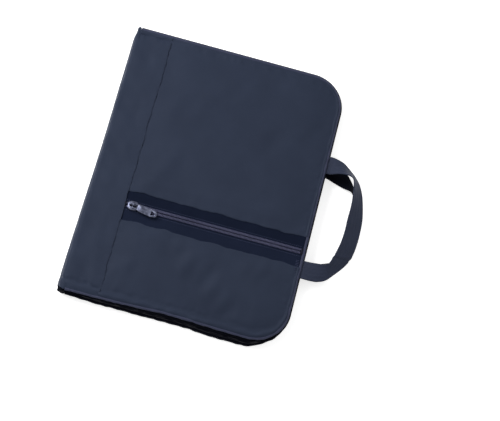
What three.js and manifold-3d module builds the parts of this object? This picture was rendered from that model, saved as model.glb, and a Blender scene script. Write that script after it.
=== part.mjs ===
// Zip-round notepad folder with a front pocket and two webbing carry handles, closed and lying on its back.
// Millimetres, +Z up. X runs from the spine to the opening edge, Y from the bottom edge to the top edge.
// The origin is the centre of the back cover's resting face.
import * as THREE from 'three';
import { mergeVertices } from 'three/addons/utils/BufferGeometryUtils.js';
import Module from 'manifold-3d';

const wasm = await Module();
wasm.setup();

// Notepad, which sets the size of the folder round it
const PAD_W = 210;
const PAD_H = 297;
const PAPER_T = 5.0;
const BACKING_T = 0.8;
const BINDING_T = 0.4;
const BINDING_DEPTH = 15;

// Room from the notepad to the covers' edges: at the spine, at the opening edge and at both ends
const PAD_LEFT = 34;
const PAD_FORE_EDGE = 18;
const PAD_END_ROOM = 21.5;
const CORNER_R = 41;

// Sheets, from the outside in
const FABRIC_T = 0.8;
const BOARD_T = 2.0;
const LINING_T = 0.6;
const BAG_LINING_T = 0.4;
const TAPE_T = 0.5;

// Clearances
const GAP = 0.3;
const SLOT_CLEARANCE = 0.2;
const PIVOT_CLEARANCE = 0.15;
const STRAP_FOLD_ROOM = 0.9;
const STRAP_SEAT = 0.1;
const PAD_CLEARANCE = 1.2;
const PEN_LOOP_CLEARANCE = 1.2;

// Edge welt
const WELT_W = 3.0;
const WELT_H = 5.0;
const WELT_ROUND_W = 1.2;
const WELT_ROUND_H = 1.6;

// Spine
const SPINE_BULGE = 4.0;
const SPINE_STRIP_W = 42.5;
const STRIP_SEAM = 0.3;

// Front panels: the pocket zip's tape band lies between the upper panel and the pocket panel
const BAND_BOTTOM = 99.5;
const BAND_H = 37.2;
const CHAIN_ABOVE_BAND = 19.0;
const UPPER_CROWN = 1.6;
const POCKET_CROWN = 3.0;

// Pocket zip, measured on one side of its centre line
const POCKET_ROW_W = 3.0;
const POCKET_ROW_GAP = 0.8;
const POCKET_ROW_H = 1.6;
const POCKET_SLIDER_L = 15.5;
const POCKET_SLIDER_WALL = 1.3;
const POCKET_PULL_L = 30;
const POCKET_PULL_W = 10;
const POCKET_PULL_FINGER = 5.2;
const POCKET_PULL_ASKEW = THREE.MathUtils.degToRad(9);
const POCKET_TAPE_TUCK = 4;
const POCKET_STOP_L = 2.5;

// Closure zip round three sides
const CLOSURE_ROW_W = 2.0;
const CLOSURE_ROW_GAP = 0.8;
const CLOSURE_ROW_H = 1.4;
const CLOSURE_SLIDER_L = 12;
const CLOSURE_SLIDER_WALL = 0.9;
const CLOSURE_PULL_L = 24;
const CLOSURE_PULL_W = 7.6;
const CLOSURE_PULL_FINGER = 4.0;
const CLOSURE_TAPE_TAIL = 1.5;
const CLOSURE_START = 8;
const CLOSURE_STOP_L = 2.4;

// Slider parts that both zips share
const SLIDER_PLATE = 0.9;
const SLIDER_POST_HALF = 0.5;
const SLIDER_POST_L = 2.5;
const SLIDER_CORNER_R = 3.0;
const BAIL_W = 2.4;
const BAIL_L = 10;
const BAIL_T = 0.9;
const PULL_T = 1.2;

// Webbing handles
const STRAP_W = 22;
const STRAP_T = 1.5;
const STRAP_RUN_W = 17;
const HANDLE_REACH = 53;
const HANDLE_SPAN = 134;
const HANDLE_CENTRE_Y = -4.9;
const BACK_HANDLE_NARROWER = 5;
const HANDLE_OUTER_R = 32;
const HANDLE_INNER_R = 14;
const HANDLE_AXIS_OUT = 2.0;
const STRAP_END_DEPTH = 12;

// Slot for the notepad's backing board
const SLOT_PANEL_T = 0.5;
const SLOT_SEAM = 2.5;
const SLOT_H = 168.5;

// Pen loop
const PEN_LOOP_X = 19;
const PEN_LOOP_Y = 40;
const PEN_LOOP_L = 20;
const PEN_BORE_W = 8.4;
const PEN_LOOP_T = 0.8;

// Pockets inside the front cover
const DOC_LEFT = 45;
const DOC_FORE_EDGE = 27;
const DOC_BOTTOM = 20;
const DOC_H = 210;
const DOC_DEPTH = 0.9;
const DOC_SEAM = 2.5;
const CARD_LEFT = 62;
const CARD_BOTTOM = 120;
const CARD_W = 98;
const CARD_H = 62;
const CARD_T = 0.4;
const CARD_STEP = 14;
const CARD_POCKETS = 3;

const ARC_STEPS = 12;

// Sizes and places that follow from the sizes above
const COVER_W = PAD_LEFT + PAD_W + PAD_FORE_EDGE;
const COVER_H = PAD_H + PAD_END_ROOM * 2;
const FOAM_T = TAPE_T + GAP + STRAP_T + STRAP_SEAT;
const PAD_STACK_T = BACKING_T + SLOT_CLEARANCE + SLOT_PANEL_T + PAPER_T + BINDING_T;
const POCKET_STACK_T = DOC_DEPTH + LINING_T + CARD_T * CARD_POCKETS;
const BACK_INNER_Z = FABRIC_T + BOARD_T + LINING_T;
const FRONT_BOARD_Z = -(FABRIC_T + FOAM_T + BOARD_T);
const FRONT_INNER_Z = FRONT_BOARD_Z - LINING_T;
const CLOSED_T = BACK_INNER_Z + PAD_STACK_T + PAD_CLEARANCE + POCKET_STACK_T - FRONT_INNER_Z;
const BOTTOM_Y = -COVER_H / 2;
const TOP_Y = COVER_H / 2;
const TAPE_INSET = WELT_W + GAP;
const LAYER_INSET = TAPE_INSET + TAPE_T + GAP;
const FABRIC_INSET = WELT_W + GAP;
const LAYER_LEFT = FABRIC_T + BOARD_T + LINING_T + GAP * 2;
const HANDLE_END_INSET = LAYER_INSET + STRAP_END_DEPTH;
const SOFT_INSET = HANDLE_END_INSET + GAP;
const BAND_LOW_Y = BOTTOM_Y + BAND_BOTTOM;
const BAND_HIGH_Y = BAND_LOW_Y + BAND_H;
const CHAIN_Y = BAND_LOW_Y + CHAIN_ABOVE_BAND;

const look = (color, roughness, metalness = 0) => new THREE.MeshStandardMaterial({ color, roughness, metalness });
const MATERIALS = {
  cover: look(0x2d374b, 0.85),
  welt: look(0x30394c, 0.8),
  tape: look(0x1c2233, 0.9),
  teeth: look(0x3a4158, 0.5),
  metal: look(0x8d919c, 0.35, 0.9),
  webbing: look(0x2c3346, 0.85),
  lining: look(0x20242e, 0.8),
  board: look(0x8a7b63, 0.9),
  foam: look(0xd9d6cc, 0.95),
  paper: look(0xf1f0ea, 0.9),
  card: look(0xa9987a, 0.9),
  binding: look(0x39404e, 0.7),
  elastic: look(0x15181f, 0.85),
};

// A body of the folder; its own origin is the line it turns or slides on
function body(parent, x, y, z) {
  const group = new THREE.Group();
  group.position.set(x, y, z);
  parent.add(group);
  return group;
}

function addMesh(parent, name, geometry, material) {
  const mesh = new THREE.Mesh(geometry, material);
  mesh.name = name;
  parent.add(mesh);
  return mesh;
}

function toManifold(geometry) {
  const bare = geometry.clone();
  bare.deleteAttribute('normal');
  bare.deleteAttribute('uv');
  const merged = mergeVertices(bare, 1e-4);
  return new wasm.Manifold(new wasm.Mesh({
    numProp: 3,
    vertProperties: new Float32Array(merged.attributes.position.array),
    triVerts: new Uint32Array(merged.index.array),
  }));
}

function toGeometry(solid) {
  const mesh = solid.getMesh();
  const geometry = new THREE.BufferGeometry();
  geometry.setAttribute('position', new THREE.BufferAttribute(mesh.vertProperties, 3));
  geometry.setIndex(new THREE.BufferAttribute(mesh.triVerts, 1));
  geometry.computeVertexNormals();
  return geometry;
}

function join(...geometries) {
  return toGeometry(geometries.map(toManifold).reduce((whole, piece) => whole.add(piece)));
}

function cut(geometry, ...tools) {
  return toGeometry(tools.map(toManifold).reduce((rest, tool) => rest.subtract(tool), toManifold(geometry)));
}

function block(x0, x1, y0, y1, z0, z1) {
  const geometry = new THREE.BoxGeometry(x1 - x0, y1 - y0, z1 - z0);
  return geometry.translate((x0 + x1) / 2, (y0 + y1) / 2, (z0 + z1) / 2);
}

function slab(shape, z0, z1) {
  const geometry = new THREE.ExtrudeGeometry(shape, {
    depth: z1 - z0,
    bevelEnabled: false,
    curveSegments: ARC_STEPS,
  });
  return geometry.translate(0, 0, z0);
}

// A profile drawn in the X-Z plane, run along Y from y0 to y1
function runAlongY(shape, y0, y1) {
  return slab(shape, 0, y1 - y0).rotateX(Math.PI / 2).translate(0, y1, 0);
}

// Outline of a cover layer: inset from the cover's edge on its open sides, square on its spine side.
// With low or high given, that side is a straight edge across the cover instead.
function layerShape(left, inset, { low = null, high = null } = {}) {
  const right = COVER_W - inset;
  const bottom = low ?? BOTTOM_Y + inset;
  const top = high ?? TOP_Y - inset;
  const radius = CORNER_R - inset;
  const shape = new THREE.Shape();
  shape.moveTo(left, bottom);
  if (low === null) {
    shape.lineTo(right - radius, bottom);
    shape.absarc(right - radius, bottom + radius, radius, -Math.PI / 2, 0, false);
  } else {
    shape.lineTo(right, bottom);
  }
  if (high === null) {
    shape.lineTo(right, top - radius);
    shape.absarc(right - radius, top - radius, radius, 0, Math.PI / 2, false);
  } else {
    shape.lineTo(right, top);
  }
  shape.lineTo(left, top);
  shape.closePath();
  return shape;
}

// A band round the three open sides of a cover, between two insets from its edge
function edgeBandShape(left, outerInset, innerInset) {
  const shape = new THREE.Shape();
  const centreX = COVER_W - CORNER_R;
  const centreY = TOP_Y - CORNER_R;
  const outerR = CORNER_R - outerInset;
  const innerR = CORNER_R - innerInset;
  shape.moveTo(left, BOTTOM_Y + outerInset);
  shape.lineTo(centreX, BOTTOM_Y + outerInset);
  shape.absarc(centreX, -centreY, outerR, -Math.PI / 2, 0, false);
  shape.lineTo(COVER_W - outerInset, centreY);
  shape.absarc(centreX, centreY, outerR, 0, Math.PI / 2, false);
  shape.lineTo(left, TOP_Y - outerInset);
  shape.lineTo(left, TOP_Y - innerInset);
  shape.lineTo(centreX, TOP_Y - innerInset);
  shape.absarc(centreX, centreY, innerR, Math.PI / 2, 0, true);
  shape.lineTo(COVER_W - innerInset, -centreY);
  shape.absarc(centreX, -centreY, innerR, 0, -Math.PI / 2, true);
  shape.lineTo(left, BOTTOM_Y + innerInset);
  shape.closePath();
  return shape;
}

// A padded sheet: rings of its outline, drawn in towards the middle, rise to a crown.
// lowerZ and upperZ give the two faces' heights at each ring, 1 at the outline and 0 in the middle.
const CROWN_RINGS = [1, 0.96, 0.9, 0.8, 0.65, 0.45];
const crownAt = (ring) => 1 - ring ** 4;
function crownedSheet(shape, lowerZ, upperZ) {
  const outline = shape.getPoints(ARC_STEPS);
  if (outline[0].distanceTo(outline.at(-1)) < 1e-6) {
    outline.pop();
  }
  const box = new THREE.Box2().setFromPoints(outline);
  const middle = box.getCenter(new THREE.Vector2());
  const count = outline.length;
  const points = [];
  for (const heightAt of [lowerZ, upperZ]) {
    for (const ring of CROWN_RINGS) {
      for (const corner of outline) {
        const place = corner.clone().sub(middle).multiplyScalar(ring).add(middle);
        points.push(place.x, place.y, heightAt(ring));
      }
    }
    points.push(middle.x, middle.y, heightAt(0));
  }
  const faceSize = CROWN_RINGS.length * count + 1;
  const index = [];
  for (let i = 0; i < count; i += 1) {
    const j = (i + 1) % count;
    for (let face = 0; face < 2; face += 1) {
      const base = face * faceSize;
      const triangle = (a, b, c) => (face ? index.push(a, b, c) : index.push(a, c, b));
      for (let ring = 0; ring + 1 < CROWN_RINGS.length; ring += 1) {
        const outer = base + ring * count;
        const inner = outer + count;
        triangle(outer + i, outer + j, inner + j);
        triangle(outer + i, inner + j, inner + i);
      }
      const last = base + (CROWN_RINGS.length - 1) * count;
      triangle(last + i, last + j, base + faceSize - 1);
    }
    index.push(i, j, faceSize + j);
    index.push(i, faceSize + j, faceSize + i);
  }
  const geometry = new THREE.BufferGeometry();
  geometry.setAttribute('position', new THREE.Float32BufferAttribute(points, 3));
  geometry.setIndex(index);
  geometry.computeVertexNormals();
  return geometry;
}

function roundedRect(x0, x1, y0, y1, radius) {
  const shape = new THREE.Shape();
  shape.moveTo(x0 + radius, y0);
  shape.lineTo(x1 - radius, y0);
  shape.absarc(x1 - radius, y0 + radius, radius, -Math.PI / 2, 0, false);
  shape.lineTo(x1, y1 - radius);
  shape.absarc(x1 - radius, y1 - radius, radius, 0, Math.PI / 2, false);
  shape.lineTo(x0 + radius, y1);
  shape.absarc(x0 + radius, y1 - radius, radius, Math.PI / 2, Math.PI, false);
  shape.lineTo(x0, y0 + radius);
  shape.absarc(x0 + radius, y0 + radius, radius, Math.PI, Math.PI * 1.5, false);
  return shape;
}

// Zip slider on a chain along X. Z = 0 is the tape's outer face, and the chain closes towards -X.
// The flange on the -Y side is left off where that row has to swing out of the slider.
function sliderGeometry({ length, innerHalf, wall, rowTop, openSide }) {
  const half = innerHalf + wall;
  const plateShape = roundedRect(-length / 2, length / 2, -half, half, SLIDER_CORNER_R);
  const topZ = rowTop + GAP;
  const lowZ = -TAPE_T - GAP;
  const straight = length / 2 - SLIDER_CORNER_R;
  const bailInner = BAIL_L / 2 - BAIL_T;
  const bailTop = topZ + SLIDER_PLATE + pivotHeight() * 2;
  const bail = new THREE.Shape();
  bail.moveTo(-BAIL_L / 2, topZ + SLIDER_PLATE / 2);
  bail.lineTo(-BAIL_L / 2, bailTop);
  bail.lineTo(-bailInner, bailTop + BAIL_T);
  bail.lineTo(bailInner, bailTop + BAIL_T);
  bail.lineTo(BAIL_L / 2, bailTop);
  bail.lineTo(BAIL_L / 2, topZ + SLIDER_PLATE / 2);
  bail.lineTo(bailInner, topZ + SLIDER_PLATE / 2);
  bail.lineTo(bailInner, bailTop);
  bail.lineTo(-bailInner, bailTop);
  bail.lineTo(-bailInner, topZ + SLIDER_PLATE / 2);
  bail.closePath();
  const pieces = [
    slab(plateShape, topZ, topZ + SLIDER_PLATE),
    slab(plateShape, lowZ - SLIDER_PLATE, lowZ),
    block(-length / 2 + GAP, -length / 2 + SLIDER_POST_L, -SLIDER_POST_HALF, SLIDER_POST_HALF,
      lowZ - SLIDER_PLATE / 2, topZ + SLIDER_PLATE / 2),
    block(-straight, straight, innerHalf, half, GAP, topZ + SLIDER_PLATE / 2),
    runAlongY(bail, -BAIL_W / 2, BAIL_W / 2),
  ];
  if (!openSide) {
    pieces.push(block(-straight, straight, -half, -innerHalf, GAP, topZ + SLIDER_PLATE / 2));
  }
  return join(...pieces);
}

// Height of the pull's turning line over the slider's top plate
function pivotHeight() {
  return Math.hypot(PULL_T / 2, PULL_T / 2) + PIVOT_CLEARANCE;
}

// Pull tab lying along +X; its bar at X = 0 turns under the bail, which stands in the eye.
// askew is the angle between the tab and the bail that the eye leaves room for.
function pullGeometry(length, width, finger, askew) {
  const barHalf = PULL_T / 2;
  const bailReach = (BAIL_L * Math.cos(askew) + BAIL_W * Math.sin(askew)) / 2;
  const eyeHalf = (BAIL_W * Math.cos(askew) + BAIL_L * Math.sin(askew)) / 2 + GAP;
  const neckHalf = eyeHalf + BAIL_T * 1.5;
  const eyeEnd = Math.hypot(bailReach, pivotHeight() + BAIL_T) + GAP;
  const shape = new THREE.Shape();
  shape.moveTo(-barHalf, -neckHalf);
  shape.lineTo(eyeEnd, -neckHalf);
  shape.lineTo(eyeEnd + barHalf * 4, -width / 2);
  shape.lineTo(length - width / 3, -width / 2);
  shape.lineTo(length, -width / 4);
  shape.lineTo(length, width / 4);
  shape.lineTo(length - width / 3, width / 2);
  shape.lineTo(eyeEnd + barHalf * 4, width / 2);
  shape.lineTo(eyeEnd, neckHalf);
  shape.lineTo(-barHalf, neckHalf);
  shape.closePath();
  const eye = new THREE.Path();
  eye.moveTo(barHalf, -eyeHalf);
  eye.lineTo(barHalf, eyeHalf);
  eye.lineTo(eyeEnd, eyeHalf);
  eye.lineTo(eyeEnd, -eyeHalf);
  eye.closePath();
  const holeEnd = length - PULL_T * 1.5;
  const hole = new THREE.Path();
  hole.moveTo(holeEnd - finger, -finger / 2);
  hole.lineTo(holeEnd - finger, finger / 2);
  hole.lineTo(holeEnd, 0);
  hole.closePath();
  shape.holes.push(eye, hole);
  return slab(shape, -PULL_T / 2, PULL_T / 2);
}

// Flat webbing loop: two legs out from the turning line at X = 0 and a run between them
function handleGeometry(span) {
  const reach = HANDLE_REACH - HANDLE_AXIS_OUT;
  const outerY = (span + STRAP_W) / 2;
  const innerY = (span - STRAP_W) / 2;
  const runX = reach - STRAP_RUN_W;
  const shape = new THREE.Shape();
  shape.moveTo(0, -outerY);
  shape.lineTo(reach - HANDLE_OUTER_R, -outerY);
  shape.absarc(reach - HANDLE_OUTER_R, -outerY + HANDLE_OUTER_R, HANDLE_OUTER_R, -Math.PI / 2, 0, false);
  shape.lineTo(reach, outerY - HANDLE_OUTER_R);
  shape.absarc(reach - HANDLE_OUTER_R, outerY - HANDLE_OUTER_R, HANDLE_OUTER_R, 0, Math.PI / 2, false);
  shape.lineTo(0, outerY);
  shape.lineTo(0, innerY);
  shape.lineTo(runX - HANDLE_INNER_R, innerY);
  shape.absarc(runX - HANDLE_INNER_R, innerY - HANDLE_INNER_R, HANDLE_INNER_R, Math.PI / 2, 0, true);
  shape.lineTo(runX, -innerY + HANDLE_INNER_R);
  shape.absarc(runX - HANDLE_INNER_R, -innerY + HANDLE_INNER_R, HANDLE_INNER_R, 0, -Math.PI / 2, true);
  shape.lineTo(0, -innerY);
  shape.closePath();
  const roots = [-1, 1].map((side) => {
    const root = new THREE.CylinderGeometry(STRAP_T / 2, STRAP_T / 2, STRAP_W, ARC_STEPS);
    return root.translate(0, side * span / 2, 0);
  });
  return join(slab(shape, -STRAP_T / 2, STRAP_T / 2), ...roots);
}

// Where a handle's legs leave a cover: the middles of its two sewn ends, in Y
const frontLegs = [HANDLE_CENTRE_Y - HANDLE_SPAN / 2, HANDLE_CENTRE_Y + HANDLE_SPAN / 2];
const backLegs = [frontLegs[0] + BACK_HANDLE_NARROWER, frontLegs[1]];
const spanOf = (legs) => legs[1] - legs[0];
const middleOf = (legs) => (legs[0] + legs[1]) / 2;

// Depth of each handle's turning line under its cover's outer face
const FRONT_STRAP_DEPTH = FABRIC_T + TAPE_T + GAP + STRAP_T / 2;
const BACK_STRAP_DEPTH = FABRIC_T + BOARD_T / 2;

function strapEnd(legY, z) {
  const end = COVER_W + HANDLE_AXIS_OUT - STRAP_T / 2 - STRAP_FOLD_ROOM;
  const start = COVER_W - HANDLE_END_INSET;
  return block(start, end, legY - STRAP_W / 2, legY + STRAP_W / 2, z - STRAP_T / 2, z + STRAP_T / 2);
}

// The room a sewn end needs: a slot through a welt, or a notch through the whole of a board
function strapRoom(legY, z, halfT) {
  const start = COVER_W - HANDLE_END_INSET - GAP;
  const halfW = STRAP_W / 2 + GAP;
  return block(start, COVER_W + HANDLE_AXIS_OUT, legY - halfW, legY + halfW, z - halfT, z + halfT);
}

function weltGeometry(z0, z1, legs, strapZ) {
  const geometry = new THREE.ExtrudeGeometry(edgeBandShape(LAYER_LEFT, 0, WELT_W), {
    depth: z1 - z0 - WELT_ROUND_H * 2,
    bevelEnabled: true,
    bevelThickness: WELT_ROUND_H,
    bevelSize: WELT_ROUND_W,
    bevelOffset: -WELT_ROUND_W,
    bevelSegments: 2,
    curveSegments: ARC_STEPS,
  });
  geometry.translate(0, 0, z0 + WELT_ROUND_H);
  return cut(geometry, ...legs.map((legY) => strapRoom(legY, strapZ, (STRAP_T + GAP) / 2)));
}

// The closure zip's rows meet half way between the two welts
const CHAIN_Z = CLOSED_T / 2;
const CLOSURE_ROW_OUTER = TAPE_INSET - GAP - CLOSURE_ROW_H;
const CLOSURE_ROW_START = CLOSURE_START + GAP + CLOSURE_STOP_L + GAP;

function closureTape(z0, z1) {
  return slab(edgeBandShape(CLOSURE_START, TAPE_INSET, TAPE_INSET + TAPE_T), z0, z1);
}

function closureRow(z0, z1) {
  return slab(edgeBandShape(CLOSURE_ROW_START, CLOSURE_ROW_OUTER, TAPE_INSET - GAP), z0, z1);
}

function closureStop(side, z0, z1) {
  const outer = side * (TOP_Y - CLOSURE_ROW_OUTER);
  const inner = side * (TOP_Y - TAPE_INSET + GAP);
  const x0 = CLOSURE_START + GAP;
  return block(x0, x0 + CLOSURE_STOP_L, Math.min(outer, inner), Math.max(outer, inner), z0, z1);
}

const folder = new THREE.Group();

// Back cover, which lies on the table
function buildBackCover() {
  const cover = body(folder, -COVER_W / 2, 0, 0);
  const seam = SPINE_STRIP_W + STRIP_SEAM / 2;
  const innerZ = BACK_INNER_Z;
  const strapZ = BACK_STRAP_DEPTH;
  addMesh(cover, 'back_outer_panel', slab(layerShape(seam, FABRIC_INSET), 0, FABRIC_T), MATERIALS.cover);
  addMesh(cover, 'back_spine_strip',
    block(0, seam - STRIP_SEAM, BOTTOM_Y + FABRIC_INSET, TOP_Y - FABRIC_INSET, 0, FABRIC_T), MATERIALS.cover);
  const board = slab(layerShape(LAYER_LEFT, LAYER_INSET), FABRIC_T, FABRIC_T + BOARD_T);
  const notches = backLegs.map((legY) => strapRoom(legY, strapZ, BOARD_T));
  addMesh(cover, 'back_board', cut(board, ...notches), MATERIALS.board);
  addMesh(cover, 'back_lining',
    slab(layerShape(LAYER_LEFT, LAYER_INSET), FABRIC_T + BOARD_T, innerZ), MATERIALS.lining);
  addMesh(cover, 'back_edge_welt', weltGeometry(0, WELT_H, backLegs, strapZ), MATERIALS.welt);
  addMesh(cover, 'back_closure_tape',
    closureTape(WELT_H - CLOSURE_TAPE_TAIL, CHAIN_Z - CLOSURE_ROW_GAP), MATERIALS.tape);
  const rowTop = CHAIN_Z - CLOSURE_ROW_GAP;
  addMesh(cover, 'back_closure_teeth', closureRow(rowTop - CLOSURE_ROW_W, rowTop), MATERIALS.teeth);
  addMesh(cover, 'back_closure_top_stop', closureStop(1, rowTop - CLOSURE_ROW_W, rowTop), MATERIALS.metal);
  addMesh(cover, 'closure_bottom_stop',
    closureStop(-1, rowTop - CLOSURE_ROW_W, CHAIN_Z + CLOSURE_ROW_GAP + CLOSURE_ROW_W), MATERIALS.metal);
  backLegs.forEach((legY, i) => {
    addMesh(cover, `back_handle_sewn_end_${['lower', 'upper'][i]}`, strapEnd(legY, strapZ), MATERIALS.webbing);
  });
  buildNotepad(cover, innerZ);
  buildPenLoop(cover, innerZ);
  return cover;
}

// Pad of paper whose backing board sits behind the slot panel
function buildNotepad(cover, floorZ) {
  const right = PAD_LEFT + PAD_W;
  const low = -PAD_H / 2;
  const high = PAD_H / 2;
  const panelZ = floorZ + BACKING_T + SLOT_CLEARANCE;
  const paperZ = panelZ + SLOT_PANEL_T;
  const side = SLOT_CLEARANCE + SLOT_SEAM;
  const top = low + SLOT_H;
  const panel = block(PAD_LEFT - side, right + side, low - side, top, floorZ, paperZ);
  const slot = block(PAD_LEFT - SLOT_CLEARANCE, right + SLOT_CLEARANCE, low - SLOT_CLEARANCE, top + GAP,
    floorZ - GAP, panelZ);
  addMesh(cover, 'notepad_slot_panel', cut(panel, slot), MATERIALS.lining);
  addMesh(cover, 'notepad_backing', block(PAD_LEFT, right, low, high, floorZ, floorZ + BACKING_T), MATERIALS.card);
  addMesh(cover, 'notepad_paper', block(PAD_LEFT, right, low, high, paperZ, paperZ + PAPER_T), MATERIALS.paper);
  const profile = [
    block(PAD_LEFT, right, high, high + BINDING_T, floorZ, paperZ + PAPER_T + BINDING_T),
    block(PAD_LEFT, right, high - BINDING_DEPTH, high + BINDING_T, paperZ + PAPER_T, paperZ + PAPER_T + BINDING_T),
    block(PAD_LEFT, right, high - BINDING_DEPTH, high + BINDING_T, floorZ + BACKING_T, paperZ),
  ];
  addMesh(cover, 'notepad_head_binding', join(...profile), MATERIALS.binding);
}

function buildPenLoop(cover, floorZ) {
  const halfW = PEN_BORE_W / 2;
  const top = CLOSED_T + FRONT_INNER_Z - PEN_LOOP_CLEARANCE;
  const outer = roundedRect(PEN_LOOP_X - halfW - PEN_LOOP_T, PEN_LOOP_X + halfW + PEN_LOOP_T,
    floorZ, top, halfW * 0.7);
  const bore = roundedRect(PEN_LOOP_X - halfW, PEN_LOOP_X + halfW,
    floorZ + PEN_LOOP_T, top - PEN_LOOP_T, halfW * 0.6);
  outer.holes.push(new THREE.Path(bore.getPoints(4).reverse()));
  addMesh(cover, 'pen_loop', runAlongY(outer, PEN_LOOP_Y, PEN_LOOP_Y + PEN_LOOP_L), MATERIALS.elastic);
}

// Spine, which turns on the line where it meets the back cover
function buildSpine() {
  const spine = body(folder, -COVER_W / 2, 0, 0);
  const low = FABRIC_T + GAP;
  const high = CLOSED_T - FABRIC_T - GAP;
  const half = (high - low) / 2;
  const radius = (half ** 2 + SPINE_BULGE ** 2) / (2 * SPINE_BULGE);
  const reach = Math.asin(half / radius);
  const skin = new THREE.Shape();
  const centreX = radius - SPINE_BULGE;
  const centreZ = (low + high) / 2;
  skin.absarc(centreX, centreZ, radius, Math.PI - reach, Math.PI + reach, false);
  skin.absarc(centreX, centreZ, radius - FABRIC_T, Math.PI + reach, Math.PI - reach, true);
  skin.closePath();
  addMesh(spine, 'spine_fabric', runAlongY(skin, BOTTOM_Y, TOP_Y), MATERIALS.cover);
  const inset = LAYER_INSET;
  addMesh(spine, 'spine_board',
    block(FABRIC_T, FABRIC_T + BOARD_T, BOTTOM_Y + inset, TOP_Y - inset, low, high), MATERIALS.board);
  addMesh(spine, 'spine_lining', block(FABRIC_T + BOARD_T, FABRIC_T + BOARD_T + LINING_T,
    BOTTOM_Y + inset, TOP_Y - inset, BACK_INNER_Z, CLOSED_T + FRONT_INNER_Z), MATERIALS.lining);
  return spine;
}

// Front cover, which turns on the spine's other edge; Z = 0 is its outer face
function buildFrontCover(spine) {
  const cover = body(spine, 0, 0, CLOSED_T);
  const seam = SPINE_STRIP_W + STRIP_SEAM / 2;
  const foamTop = -FABRIC_T - GAP;
  const foamLow = -FABRIC_T - FOAM_T;
  const strapZ = -FRONT_STRAP_DEPTH;
  addMesh(cover, 'front_spine_strip',
    block(0, seam - STRIP_SEAM, BOTTOM_Y + FABRIC_INSET, TOP_Y - FABRIC_INSET, -FABRIC_T, 0), MATERIALS.cover);
  const upper = layerShape(seam, FABRIC_INSET, { low: BAND_HIGH_Y });
  addMesh(cover, 'front_upper_panel', crownedSheet(upper,
    (ring) => -FABRIC_T + UPPER_CROWN * crownAt(ring), (ring) => UPPER_CROWN * crownAt(ring)), MATERIALS.cover);
  const pad = layerShape(seam, SOFT_INSET, { low: BAND_HIGH_Y + POCKET_TAPE_TUCK + GAP });
  addMesh(cover, 'front_upper_foam', crownedSheet(pad,
    () => foamLow, (ring) => foamTop + UPPER_CROWN * crownAt(ring)), MATERIALS.foam);
  addMesh(cover, 'front_strip_foam', block(LAYER_LEFT, seam - STRIP_SEAM,
    BOTTOM_Y + LAYER_INSET, TOP_Y - LAYER_INSET, foamLow, -FABRIC_T), MATERIALS.foam);
  addMesh(cover, 'front_board',
    slab(layerShape(LAYER_LEFT, LAYER_INSET), FRONT_BOARD_Z, foamLow), MATERIALS.board);
  addMesh(cover, 'front_lining',
    slab(layerShape(LAYER_LEFT, LAYER_INSET), FRONT_INNER_Z, FRONT_BOARD_Z), MATERIALS.lining);
  addMesh(cover, 'front_edge_welt', weltGeometry(-WELT_H, 0, frontLegs, strapZ), MATERIALS.welt);
  const rowLow = CHAIN_Z + CLOSURE_ROW_GAP - CLOSED_T;
  addMesh(cover, 'front_closure_tape', closureTape(rowLow, -WELT_H + CLOSURE_TAPE_TAIL), MATERIALS.tape);
  addMesh(cover, 'front_closure_teeth', closureRow(rowLow, rowLow + CLOSURE_ROW_W), MATERIALS.teeth);
  addMesh(cover, 'front_closure_top_stop', closureStop(1, rowLow, rowLow + CLOSURE_ROW_W), MATERIALS.metal);
  frontLegs.forEach((legY, i) => {
    addMesh(cover, `front_handle_sewn_end_${['lower', 'upper'][i]}`, strapEnd(legY, strapZ), MATERIALS.webbing);
  });
  buildFrontPocket(cover, seam, foamLow);
  buildInnerPockets(cover);
  return cover;
}

// Outer pocket: its panel stands proud of a back lining, under the zip
function buildFrontPocket(cover, left, floorZ) {
  const pocket = layerShape(left, FABRIC_INSET, { high: BAND_LOW_Y });
  addMesh(cover, 'pocket_panel', crownedSheet(pocket,
    (ring) => -FABRIC_T + POCKET_CROWN * crownAt(ring), (ring) => POCKET_CROWN * crownAt(ring)), MATERIALS.cover);
  addMesh(cover, 'pocket_back_lining',
    slab(layerShape(left, SOFT_INSET, { high: BAND_HIGH_Y }), floorZ, floorZ + BAG_LINING_T), MATERIALS.lining);
  const right = COVER_W - FABRIC_INSET;
  const tapeZ = -FABRIC_T;
  const rows = { upper: 1, lower: -1 };
  for (const [name, side] of Object.entries(rows)) {
    const edge = side > 0 ? BAND_HIGH_Y : BAND_LOW_Y;
    const tapeY = [CHAIN_Y + side * POCKET_ROW_GAP, edge + side * POCKET_TAPE_TUCK].sort((a, b) => a - b);
    addMesh(cover, `pocket_tape_${name}`,
      block(left, right, tapeY[0], tapeY[1], tapeZ - TAPE_T, tapeZ), MATERIALS.tape);
    const rowY = [side * POCKET_ROW_GAP, side * (POCKET_ROW_GAP + POCKET_ROW_W)].sort((a, b) => a - b);
    const rowStart = left + POCKET_STOP_L + GAP;
    const rowEnd = right - POCKET_STOP_L - GAP;
    addMesh(cover, `pocket_teeth_${name}`,
      block(rowStart, rowEnd, CHAIN_Y + rowY[0], CHAIN_Y + rowY[1], tapeZ, tapeZ + POCKET_ROW_H), MATERIALS.teeth);
    addMesh(cover, `pocket_top_stop_${name}`, block(left, left + POCKET_STOP_L,
      CHAIN_Y + rowY[0], CHAIN_Y + rowY[1], tapeZ, tapeZ + POCKET_ROW_H), MATERIALS.metal);
  }
  const stopHalf = POCKET_ROW_GAP + POCKET_ROW_W;
  addMesh(cover, 'pocket_bottom_stop', block(right - POCKET_STOP_L, right,
    CHAIN_Y - stopHalf, CHAIN_Y + stopHalf, tapeZ, tapeZ + POCKET_ROW_H), MATERIALS.metal);
}

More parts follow.
